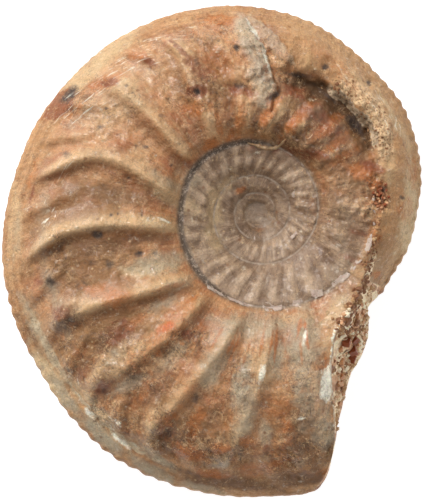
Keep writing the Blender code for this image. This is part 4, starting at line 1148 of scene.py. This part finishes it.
    # Thin veinlets that wander through it, most in its rough parts, and specks
    rough = crumpled * 0.65 + 0.35
    here = cloud.spread(0.42, 0.56) * rough
    there = fine.spread(0.44, 0.54) * rough
    stone.lay(stone.wisps(1.4, 0.03, 0.0) * here, CREAM_AND_CREST_HIGHLIGHT)
    stone.lay(stone.wisps(2.0, 0.02, 7.0) * there, VEINLET)
    stone.lay(stone.wisps(1.1, 0.028, 19.0) * here, VEINLET)
    stone.lay(stone.dots(1.1, 0.2, 0.35) * 0.6, PALE_CREAM_AND_PAINTED_LIGHT)
    stone.lay(stone.dots(1.5, 0.3, 0.3) * 0.6, BROWN_AND_LEE_SHADE)
    # Painted highlights: thin bright streaks of glint along the whorl
    painted_glints = drawn(0.5, 0.24, 1.5, 0.09).spread(0.55, 0.66, 0.0, 0.62)
    stone.lay(painted_glints * patchy("sheen", 0.8, 0.3, 0.8), CALCITE_WHITE_AND_GLINT)
    # The broken face: grains of mud and calcite, with joints between them
    grit = mark("pale") * 0.5 + speckle(0.6, 4.0) * 0.8 + mark("own")
    broken = stone.mix(grit.spread(0.55, 0.8), MATRIX_BROWN, CRYSTAL_BROWN)
    broken = stone.mix(grit.spread(0.85, 1.1), broken, MATRIX_CREAM)
    filled = stone.mix(speckle(1.6, 3.0).spread(0.42, 0.5), DEEP_BROWN_AND_SHADE, MATRIX_CREAM)
    broken = stone.mix((fine * 0.5 + mark("gap")).spread(0.72, 0.92), broken, filled)
    broken = stone.mix(speckle(0.4, 4.0).spread(0.54, 0.7, 0.0, 0.4), broken, BROWN_AND_LEE_SHADE)
    stone.lay(mark("broken").spread(0.03, 0.08), broken)
    # Its rim and the crack beside it
    rim = stone.mix(fine.spread(0.45, 0.62), CALCITE_WHITE_AND_GLINT, PALE_CREAM_AND_PAINTED_LIGHT)
    stone.lay(patchy("rim", 1.0, 0.26, 1.9), rim)
    beyond = speckle(1.2, 4.0) * 0.7 + mark("beyond")
    crack = abs(beyond - 2.5).spread(0.05, 0.17, 0.85, 0.0)
    stone.lay(crack * speckle(1.0, 3.0).spread(0.36, 0.5), MATRIX_BROWN)
    # The seams, dirty on one side and else a thin lilac thread
    seam = mark("seam")
    crusted = stone.mix(speckle(0.35, 4.0, 0.7).spread(0.5, 0.6), SEAM_GREY, THREAD_LILAC)
    stone.lay(seam.spread(0.1, 0.8, 0.0, 0.85), crusted)
    thread = mark("inset").worked("MINIMUM", mark("outset")).spread(0.03, 0.16, 1.0, 0.0)
    thread = thread * mark("inner") * speckle(0.8, 3.0).spread(0.36, 0.56, 0.1, 0.9)
    thread = thread * seam.spread(0.2, 0.6, 1.0, 0.0)
    stone.lay(thread * mark("growth").spread(-900.0, -560.0, 0.5, 1.0), THREAD_LILAC)
    # Fine grain over all
    grain = speckle(0.24, 5.0, 0.75).spread(0.3, 0.7, -0.3, 0.3)
    grain = grain * (coarse + 0.15).worked("MINIMUM", 1.0) + 1.02
    grey = stone.put("CombineColor", Red=grain, Green=grain, Blue=grain)
    stone.colour = stone.mix(1.0, stone.colour, grey, "MULTIPLY")
    # The polish, which the broken and porous parts lack
    dull = mark("crust")
    for other in (
        mark("broken"), mark("hollow"), mark("rim"), mark("beyond").spread(1.9, 2.2),
        mark("keel") * 0.7, mark("band") * 0.6,
    ):
        dull = dull.worked("MAXIMUM", other)
    gloss = dull * 0.35 + speckle(0.8, 4.0).spread(0.35, 0.65, 0.32, 0.55)
    polish = drawn(0.35, 0.15, 1.0) * 0.5 + speckle(0.4, 4.0, 0.65)
    coat = stone.shader.inputs
    fill(coat["Coat Weight"], dull.spread(0.1, 0.6, 0.4, 0.0))
    fill(coat["Coat Normal"], stone.put("Bump", Height=polish, Strength=1.0, Distance=0.085 * MM))
    coat["Coat Roughness"].default_value = 0.07
    coat["Subsurface Weight"].default_value = 0.12
    coat["Subsurface Radius"].default_value = (1.0, 0.5, 0.25)
    coat["Subsurface Scale"].default_value = 0.8 * MM
    calm = mark("inner").spread(0.0, 1.0, 1.0, 0.3)
    relief = speckle(1.5, 6.0, 0.62) * calm + speckle(0.35, 4.0, 0.7) * 0.4
    relief = relief + striae * 0.25 + fibres * 0.15 + speckle(0.8, 6.0, 0.7) * crumpled * 1.3
    return stone.done(gloss, relief, 1.0, 0.4)


def shown(name, spots, faces, material):
    """A smooth-shaded piece from points in mm, riding with the fossil."""
    mesh = bpy.data.meshes.new(name)
    mesh.from_pydata((np.asarray(spots)[:, :3] * MM).tolist(), [], faces)
    mesh.validate()
    mesh.shade_smooth()
    mesh.materials.append(material)
    piece = bpy.data.objects.new(name, mesh)
    bpy.context.scene.collection.objects.link(piece)
    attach(piece, "root")
    return piece


def add_mark(piece, name, values):
    layer = piece.data.attributes.new(name, "FLOAT", "POINT")
    layer.data.foreach_set("value", np.ascontiguousarray(values, np.float32))


coil_spots, coil_faces = make_coil()
coil_spots[:, :3] = np.clip(coil_spots[:, :3], np.array(cad_box[0]) / MM, np.array(cad_box[1]) / MM)
coil = shown("coil", coil_spots, coil_faces, stone_finish())
upper = coil_spots[:, 2] > middle(coil_spots[:, 0], coil_spots[:, 1])
turn = math.radians(UNDER_TURN)
off_x, off_y = coil_spots[:, 0] - CENTRE[0], coil_spots[:, 1] - CENTRE[1]
stain_x = np.where(upper, coil_spots[:, 0], CENTRE[0] + off_x * math.cos(turn) - off_y * math.sin(turn))
stain_y = np.where(upper, coil_spots[:, 1], CENTRE[1] + off_x * math.sin(turn) + off_y * math.cos(turn))
coil_marks = {name: coil_spots[:, 3 + k] for k, name in enumerate(MARKS)}
coil_marks["rough"] = patch(stain_x, stain_y, ROUGH, 35)
for seed, (name, places) in enumerate(STAINS_AND_PAINTED_LIGHT.items()):
    coil_marks[name] = patch(stain_x, stain_y, places, 60 + 2 * seed)
for name, values in coil_marks.items():
    add_mark(coil, name, values)
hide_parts("ammonite")


# Calcite crystals
# Red-brown rhombs of calcite that grew in the hollow of the shell, bare on the broken
# face and in a small recess of the band, half sunk in the matrix that holds them.
# The large ones: growth angle, radius, size, turn, tint from 0, reddest, to 1
BREAK_CRYSTALS = [
    (304.3, 18.6, 0.95, 20, 0.1), (307.4, 19.1, 0.85, 75, 0.1), (304.6, 20.1, 0.98, 50, 0.1),
    (303.0, 20.9, 0.86, 10, 0.1), (299.2, 20.3, 0.74, 35, 0.5), (310.8, 17.7, 0.7, 60, 0.5),
    (297.2, 22.0, 0.7, 80, 0.5), (301.0, 18.9, 0.66, 45, 0.5), (313.5, 17.0, 0.6, 15, 0.5),
]
# The small ones: the corners of the area that they cover, and then how many lie there,
# their size and the tint of the reddest and of the palest
BREAK_AREA = [
    (14.9, -8.2), (16.0, -6.4), (18.1, -6.4), (18.9, -8.2), (18.7, -11.4), (17.6, -13.4),
    (16.6, -15.2), (15.7, -18.4), (15.2, -18.6), (15.0, -14.4), (14.8, -11.0),
]
RECESS_AREA = [(19.0, 7.6), (20.6, 7.8), (21.0, 6.2), (20.4, 4.8), (19.4, 4.6), (18.9, 6.0)]
CRYSTAL_AREAS = [(BREAK_AREA, 120, 0.46, 0.45, 1.2), (RECESS_AREA, 34, 0.32, 0.0, 0.72)]
CRYSTAL_SHEAR, CRYSTAL_TILT, CRYSTAL_BEVEL = 0.2, 14.0, 0.05
CRYSTAL_LIFT, CRYSTAL_ROOM = 0.22, 0.75
CRYSTAL_SIZES, CORNER_UP = (0.6, 1.3), 54.7


def on_last_whorl(x, y):
    """The growth angle of a place, if it were on the last whorl, and its radius."""
    angle = math.degrees(math.atan2(y - CENTRE[1], x - CENTRE[0]))
    return angle + (TURN if angle < LAST_START else 0.0), math.hypot(x - CENTRE[0], y - CENTRE[1])


def surface_height(x, y):
    """Height of the upper flank over a place, whichever whorl is there."""
    angle, radius = on_last_whorl(x, y)
    if radius >= seam_radius(angle):
        return middle(x, y) + last_flank(np.array([angle]), np.array([radius]), 1, {})[0]
    while radius < seam_radius(angle):
        angle -= TURN
    low, high = seam_radius(angle), seam_radius(angle + TURN)
    return middle(x, y) + inner_flank(angle, np.array([(radius - low) / (high - low)]), {})[0]


def inside(x, y, corners):
    """Whether a place lies within the corners of an area."""
    crossings = 0
    for (ax, ay), (bx, by) in zip(corners, corners[1:] + corners[:1]):
        if (ay > y) != (by > y) and x < ax + (bx - ax) * (y - ay) / (by - ay):
            crossings += 1
    return crossings % 2 == 1


def clear_of_keel(x, y, margin):
    """Whether a place is further inside the outline than the margin."""
    angle, radius = on_last_whorl(x, y)
    return radius < between(angle, OUTLINE) - margin


def crystal_places():
    """Place, size, turn and tint of each crystal."""
    rng = np.random.default_rng(5)
    places = [
        (*flat_place(angle, radius), size, angle + turn, tint)
        for angle, radius, size, turn, tint in BREAK_CRYSTALS
    ]
    large = places[:]
    for corners, count, size, reddest, palest in CRYSTAL_AREAS:
        low, high = np.min(corners, axis=0), np.max(corners, axis=0)
        found = 0
        while found < count:
            x, y = rng.uniform(low, high)
            nearest = min(math.hypot(x - px, y - py) for px, py, *_ in large)
            if inside(x, y, corners) and clear_of_keel(x, y, size) and nearest > CRYSTAL_ROOM:
                found += 1
                own_size = size * rng.uniform(*CRYSTAL_SIZES)
                places.append((x, y, own_size, rng.uniform(0, TURN), rng.uniform(reddest, palest)))
    return places


def turned(degrees, axis):
    return Matrix.Rotation(math.radians(degrees), 4, axis)


def make_crystals():
    """Sheared and bevelled cubes, each on a corner so that three of its sides show."""
    lean = CRYSTAL_SHEAR
    shear = Matrix(((1, lean, lean), (0, 1, lean), (0, 0, 1))).to_4x4()
    stance = turned(CRYSTAL_TILT, "Y") @ turned(CORNER_UP, "X") @ turned(45, "Z") @ shear
    spots, faces, tints = [], [], []
    for x, y, size, turn, tint in crystal_places():
        place = Matrix.Translation((x, y, surface_height(x, y) + CRYSTAL_LIFT * size))
        crystal = bmesh.new()
        bmesh.ops.create_cube(crystal, size=size, matrix=place @ turned(turn, "Z") @ stance)
        bmesh.ops.bevel(
            crystal, geom=crystal.edges[:], offset=CRYSTAL_BEVEL, segments=1, affect="EDGES",
            profile=0.5,
        )
        crystal.verts.index_update()
        faces += [[len(spots) + v.index for v in f.verts] for f in crystal.faces]
        spots += [tuple(v.co) for v in crystal.verts]
        tints += [tint] * len(crystal.verts)
        crystal.free()
    return spots, faces, tints


CRYSTAL_RED = colour_of(142, 78, 50)
CRYSTAL_CREAM = colour_of(244, 226, 194)


def crystal_finish():
    calcite = Finish("calcite", CRYSTAL_RED)
    cloudy = calcite.speckle(0.5, 4.0) * 0.3 + calcite.mark("tint")
    calcite.lay(cloudy.spread(0.45, 0.7), CRYSTAL_BROWN)
    calcite.lay(cloudy.spread(0.8, 1.0), CRYSTAL_CREAM)
    shader = calcite.shader.inputs
    shader["Specular IOR Level"].default_value = 0.3
    shader["Subsurface Weight"].default_value = 0.15
    shader["Subsurface Radius"].default_value = (1.0, 0.5, 0.3)
    shader["Subsurface Scale"].default_value = 0.3 * MM
    gloss = calcite.speckle(0.4).spread(0.3, 0.7, 0.35, 0.6)
    return calcite.done(gloss, calcite.speckle(0.3, 3.0), 0.5, 0.05)


crystal_spots, crystal_faces, crystal_tints = make_crystals()
crystals = shown("calcite_crystals", crystal_spots, crystal_faces, crystal_finish())
crystals.data.shade_flat()
add_mark(crystals, "tint", crystal_tints)


# Crumbs of matrix
# Grains of cream and brown lime mud, the size of sand, that still stick to the broken
# face, along the edge of the lost whorl and on its porous band.
# Paths that they lie along: place, place, how far they stray, how many, size and how
# brown the brownest are
CRUMB_PATHS = [
    ((19.7, 7.6), (20.2, 4.6), 0.3, 30, 0.14, 1.2), ((19.7, 4.4), (18.9, 0.0), 0.2, 50, 0.14, 1.0),
    ((18.9, 0.0), (18.2, -3.0), 0.26, 60, 0.16, 1.0), ((18.2, -3.0), (17.2, -5.4), 0.3, 66, 0.18, 1.0),
    ((17.2, -5.4), (15.6, -8.0), 0.34, 70, 0.25, 1.1), ((15.6, -8.0), (14.8, -9.8), 0.22, 30, 0.26, 1.2),
    ((15.2, -8.4), (18.4, -8.8), 0.8, 50, 0.15, 1.0), ((15.2, -13.6), (16.8, -14.4), 0.5, 40, 0.16, 0.9),
    ((15.0, -13.4), (16.6, -16.6), 0.5, 50, 0.2, 1.0), ((14.6, -16.8), (15.2, -21.6), 0.25, 44, 0.2, 0.5),
    ((18.9, -8.0), (18.2, -11.6), 0.25, 40, 0.26, 0.5), ((18.2, -11.6), (16.2, -15.4), 0.25, 40, 0.24, 0.5),
    ((16.2, -15.4), (15.4, -19.0), 0.25, 30, 0.24, 0.5), ((15.4, -9.4), (17.8, -9.0), 0.5, 30, 0.24, 1.0),
    ((13.6, 20.0), (17.6, 16.8), 0.6, 40, 0.11, 1.0), ((17.6, 16.8), (20.4, 12.2), 0.6, 40, 0.11, 1.0),
    ((19.0, -4.4), (18.6, -7.4), 0.35, 60, 0.2, 0.5), ((18.9, -7.4), (18.9, -9.6), 0.2, 30, 0.3, 0.4),
]

CRUMB_DENTS, CRUMB_SPREAD, CRUMB_STRETCH, CRUMB_TINTS = 0.3, 0.35, (0.6, 1.4), 0.7


def make_crumbs():
    rng = np.random.default_rng(8)
    grain = bmesh.new()
    bmesh.ops.create_icosphere(grain, subdivisions=1, radius=1.0)
    bmesh.ops.subdivide_edges(grain, edges=grain.edges[:], cuts=1, use_grid_fill=True)
    corners = np.array([v.co for v in grain.verts])
    sides = [[v.index for v in f.verts] for f in grain.faces]
    grain.free()
    spots, faces, tints = [], [], []
    for start, end, stray, count, size, brownest in CRUMB_PATHS:
        for _ in range(count):
            t = rng.uniform()
            x = start[0] + (end[0] - start[0]) * t + rng.normal() * stray
            y = start[1] + (end[1] - start[1]) * t + rng.normal() * stray
            own_size = size * rng.lognormal(0.0, CRUMB_SPREAD)
            if not clear_of_keel(x, y, 0.8 * own_size):
                continue
            dents = 1 + CRUMB_DENTS * lumps(1.6, 9, *(corners.T + rng.uniform(0, 50)), waves=6)
            body = corners * dents[:, None] * rng.uniform(*CRUMB_STRETCH, 3) * own_size
            first = len(spots) * len(corners)
            spots.append(body + (x, y, surface_height(x, y)))
            faces += [[first + k for k in side] for side in sides]
            palest = max(brownest - CRUMB_TINTS, 0.0)
            tints.append(np.full(len(corners), rng.uniform(palest, brownest)))
    return np.concatenate(spots), faces, np.concatenate(tints)


def crumb_finish():
    mud = Finish("lime_crumbs", MATRIX_CREAM)
    tint = mud.mark("tint")
    mud.lay(tint.spread(0.1, 0.45), BAND_TAN)
    mud.lay(tint.spread(0.5, 0.75), MATRIX_BROWN)
    mud.lay(mud.speckle(0.3, 4.0).spread(0.42, 0.66, 0.0, 0.6), PORE_BROWN)
    gloss = mud.speckle(0.4).spread(0.3, 0.7, 0.45, 0.8)
    return mud.done(gloss, mud.speckle(0.2, 4.0), 0.8, 0.08)


crumb_spots, crumb_faces, crumb_tints = make_crumbs()
crumbs = shown("matrix_crumbs", crumb_spots, crumb_faces, crumb_finish())
crumbs.data.shade_flat()
add_mark(crumbs, "tint", crumb_tints)


# Flakes of old shell
# Thin lilac-white scraps of the shell itself, left standing along the seam round the
# umbilicus where the lost whorl broke away, and one cream lip at its top.
# Corners of the flakes, in mm
FLAKES = [
    [(5.8, -6.2), (6.1, -7.1), (7.0, -7.35), (8.3, -7.0), (8.2, -6.5), (7.3, -6.6), (6.6, -6.1)],
    [(9.5, -6.0), (9.5, -6.6), (10.2, -6.65), (10.7, -6.0), (10.5, -5.7)],
    [(11.6, -4.6), (11.7, -5.4), (12.2, -5.7), (13.1, -5.3), (13.0, -4.6), (12.4, -4.7)],
    [(14.0, -4.0), (14.3, -4.4), (15.4, -3.8), (16.3, -2.9), (16.0, -2.6), (15.0, -3.1)],
    [(16.2, -2.3), (16.6, -2.5), (17.6, -1.2), (17.5, -0.8), (17.1, -1.0)],
    [(1.7, -5.4), (2.0, -5.8), (3.6, -6.5), (4.9, -6.9), (4.8, -6.5), (3.4, -6.1)],
    [(-0.6, -4.1), (-0.5, -4.5), (0.9, -5.3), (1.5, -5.5), (1.0, -5.0)],
    [(18.0, 0.0), (18.3, -0.5), (18.8, 0.6), (18.9, 2.0), (18.5, 1.8)],
    [(18.8, 4.6), (19.0, 2.9), (19.25, 2.9), (19.3, 5.0), (19.2, 6.6), (18.9, 6.2)],
    [(9.5, 6.3), (9.8, 6.2), (9.9, 7.4), (9.6, 7.3)],
    [(9.3, 1.6), (9.5, 1.2), (10.2, 1.9), (10.0, 2.3)],
    [(7.8, 0.2), (8.3, 0.0), (9.1, 0.5), (8.6, 0.9)],
]
FLAKE_EDGE, FLAKE_LIFT, FLAKE_SIDE = 0.12, 0.09, 0.35
FLAKE_RAGGED, FLAKE_ROUGH = 0.03, 0.02
SHELL_LIP = [
    (4.2, 12.7), (4.8, 12.55), (5.5, 12.35), (6.2, 12.1), (7.0, 12.05), (7.7, 12.2),
    (8.3, 12.65), (8.7, 13.1),
]
LIP_WIDTH, LIP_HEIGHT, LIP_SUNK, LIP_ROOT = 0.26, 0.28, 0.02, 0.4
LIP_UNEVEN = [(0.3, 1.2, 75), (0.12, 0.4, 76)]


def add_flake(spots, faces, corners, rng):
    """A thin plate that follows the stone, with broken edges."""
    ring = []
    for (ax, ay), (bx, by) in zip(corners, corners[1:] + corners[:1]):
        count = max(2, int(math.hypot(bx - ax, by - ay) / FLAKE_EDGE))
        for k in range(count):
            t = k / count
            off = rng.normal(size=2) * FLAKE_RAGGED
            ring.append((ax + (bx - ax) * t + off[0], ay + (by - ay) * t + off[1]))
    ring = np.array(ring)
    if np.sum(ring[:, 0] * np.roll(ring[:, 1], -1) - np.roll(ring[:, 0], -1) * ring[:, 1]) < 0:
        ring = ring[::-1]
    centre = ring.mean(axis=0)
    first = len(spots)
    count = len(ring)
    # Rings from the foot of its side, over its edge, to its middle
    rings = ((0.0, -FLAKE_SIDE), (0.0, 0.6 * FLAKE_LIFT), (0.1, FLAKE_LIFT), (0.5, FLAKE_LIFT * 1.1))
    for inward, lift in rings:
        for x, y in ring + (centre - ring) * inward:
            rough = FLAKE_ROUGH * rng.normal() if lift > 0 else 0
            spots.append((x, y, surface_height(x, y) + lift + rough))
    spots.append((*centre, surface_height(*centre) + FLAKE_LIFT * 1.1))
    for row in range(3):
        for k in range(count):
            a = first + row * count + k
            b = first + row * count + (k + 1) % count
            faces.append((a, b, b + count, a + count))
    last = first + 3 * count
    for k in range(count):
        faces.append((last + k, last + (k + 1) % count, len(spots) - 1))
    faces.append(tuple(range(first + count - 1, first - 1, -1)))


def make_flakes():
    rng = np.random.default_rng(12)
    spots, faces = [], []
    for corners in FLAKES:
        add_flake(spots, faces, corners, rng)
    return spots, faces


def make_lip():
    """A round-backed strip along the path of the lip, closed at its ends."""
    spots, faces = [], []
    path = np.array(SHELL_LIP)
    t = np.linspace(0, len(path) - 1, 60)
    x = between(t, list(enumerate(path[:, 0])))
    y = between(t, list(enumerate(path[:, 1])))
    dx, dy = np.gradient(x), np.gradient(y)
    shares = (-1.0, -0.8, -0.4, 0.0, 0.4, 0.8, 1.0)
    for k in range(len(t)):
        side = np.array([dy[k], -dx[k]]) / math.hypot(dx[k], dy[k])
        thick = 1 + uneven(LIP_UNEVEN, t[k])
        half = LIP_WIDTH * (0.3 + 0.7 * math.sin(math.pi * k / (len(t) - 1))) * thick
        for share in shares:
            px, py = x[k] + side[0] * share * half, y[k] + side[1] * share * half
            lift = LIP_HEIGHT * thick * (1 - share ** 4) - LIP_SUNK
            spots.append((px, py, surface_height(px, py) + lift))
        spots.append((x[k], y[k], surface_height(x[k], y[k]) - LIP_ROOT))
    ring = len(shares) + 1
    for k in range(len(t) - 1):
        for j in range(ring):
            a, b = k * ring + j, k * ring + (j + 1) % ring
            faces.append((a, b, b + ring, a + ring))
    faces.append(tuple(range(ring - 1, -1, -1)))
    faces.append(tuple(range((len(t) - 1) * ring, len(t) * ring)))
    return spots, faces


SHELL_LILAC = colour_of(194, 172, 156)
SHELL_GREY = colour_of(146, 122, 104)
LIP_CREAM = colour_of(180, 148, 112)


def shell_finish(name, pale, dark):
    shell = Finish(name, pale)
    shell.lay(shell.speckle(0.6, 5.0, 0.65).spread(0.5, 0.7), dark)
    shell.shader.inputs["Subsurface Weight"].default_value = 0.15
    shell.shader.inputs["Subsurface Scale"].default_value = 0.4 * MM
    gloss = shell.speckle(0.4).spread(0.3, 0.7, 0.25, 0.5)
    return shell.done(gloss, shell.speckle(0.35, 4.0), 0.8, 0.08)


flakes = shown("shell_flakes", *make_flakes(), shell_finish("old_shell", SHELL_LILAC, SHELL_GREY))
flakes.data.shade_flat()
shown("shell_lip", *make_lip(), shell_finish("shell_lip", LIP_CREAM, UMBILICUS))


# The studio
# A plain pale floor, a large soft light from the upper left, a fill from the right, and
# the camera straight above.
FLOOR_SIZE = 1200.0
LENS = 180.0
VIEW_HEIGHT = 60.0
SENSOR = 36.0
FLOOR_GLOW, SKY_GLOW = 0.84, 0.36
# Lamps, which all point at the fossil: name, place, size, watts
LAMPS = [
    ("key", (-400, 640, 560), 260, 6.8), ("fill", (520, -120, 600), 500, 0.8),
    ("low", (-520, 460, 230), 30, 1.2),
]

floor_mesh = bpy.data.meshes.new("floor")
edge = FLOOR_SIZE * MM / 2
floor_corners = [(-edge, -edge, 0), (edge, -edge, 0), (edge, edge, 0), (-edge, edge, 0)]
floor_mesh.from_pydata(floor_corners, [], [(0, 1, 2, 3)])
floor = bpy.data.objects.new("floor", floor_mesh)
bpy.context.scene.collection.objects.link(floor)
floor_paint = bpy.data.materials.new("floor_paint")
floor_paint.use_nodes = True
floor_shader = floor_paint.node_tree.nodes["Principled BSDF"]
floor_shader.inputs["Base Color"].default_value = (0.45, 0.45, 0.45, 1)
floor_shader.inputs["Roughness"].default_value = 0.9
floor_shader.inputs["Emission Color"].default_value = (1, 1, 1, 1)
floor_shader.inputs["Emission Strength"].default_value = FLOOR_GLOW
floor_mesh.materials.append(floor_paint)

for name, place, size, watts in LAMPS:
    lamp = bpy.data.lights.new(name, "AREA")
    lamp.shape = "DISK"
    lamp.size = size * MM
    lamp.energy = watts
    holder = bpy.data.objects.new(name, lamp)
    holder.location = Vector(place) * MM
    holder.rotation_euler = (-Vector(place)).to_track_quat("-Z", "Y").to_euler()
    bpy.context.scene.collection.objects.link(holder)

world = bpy.data.worlds.new("studio")
bpy.context.scene.world = world
world.use_nodes = True
world.node_tree.nodes["Background"].inputs["Color"].default_value = (1, 1, 1, 1)
world.node_tree.nodes["Background"].inputs["Strength"].default_value = SKY_GLOW

camera = bpy.data.cameras.new("camera")
camera.lens = LENS
camera.sensor_width = SENSOR
camera_holder = bpy.data.objects.new("camera", camera)
camera_holder.location = (0, 0, (MIDDLE_HEIGHT + VIEW_HEIGHT * LENS / SENSOR) * MM)
bpy.context.scene.collection.objects.link(camera_holder)
bpy.context.scene.camera = camera_holder
bpy.context.scene.view_settings.view_transform = "Standard"
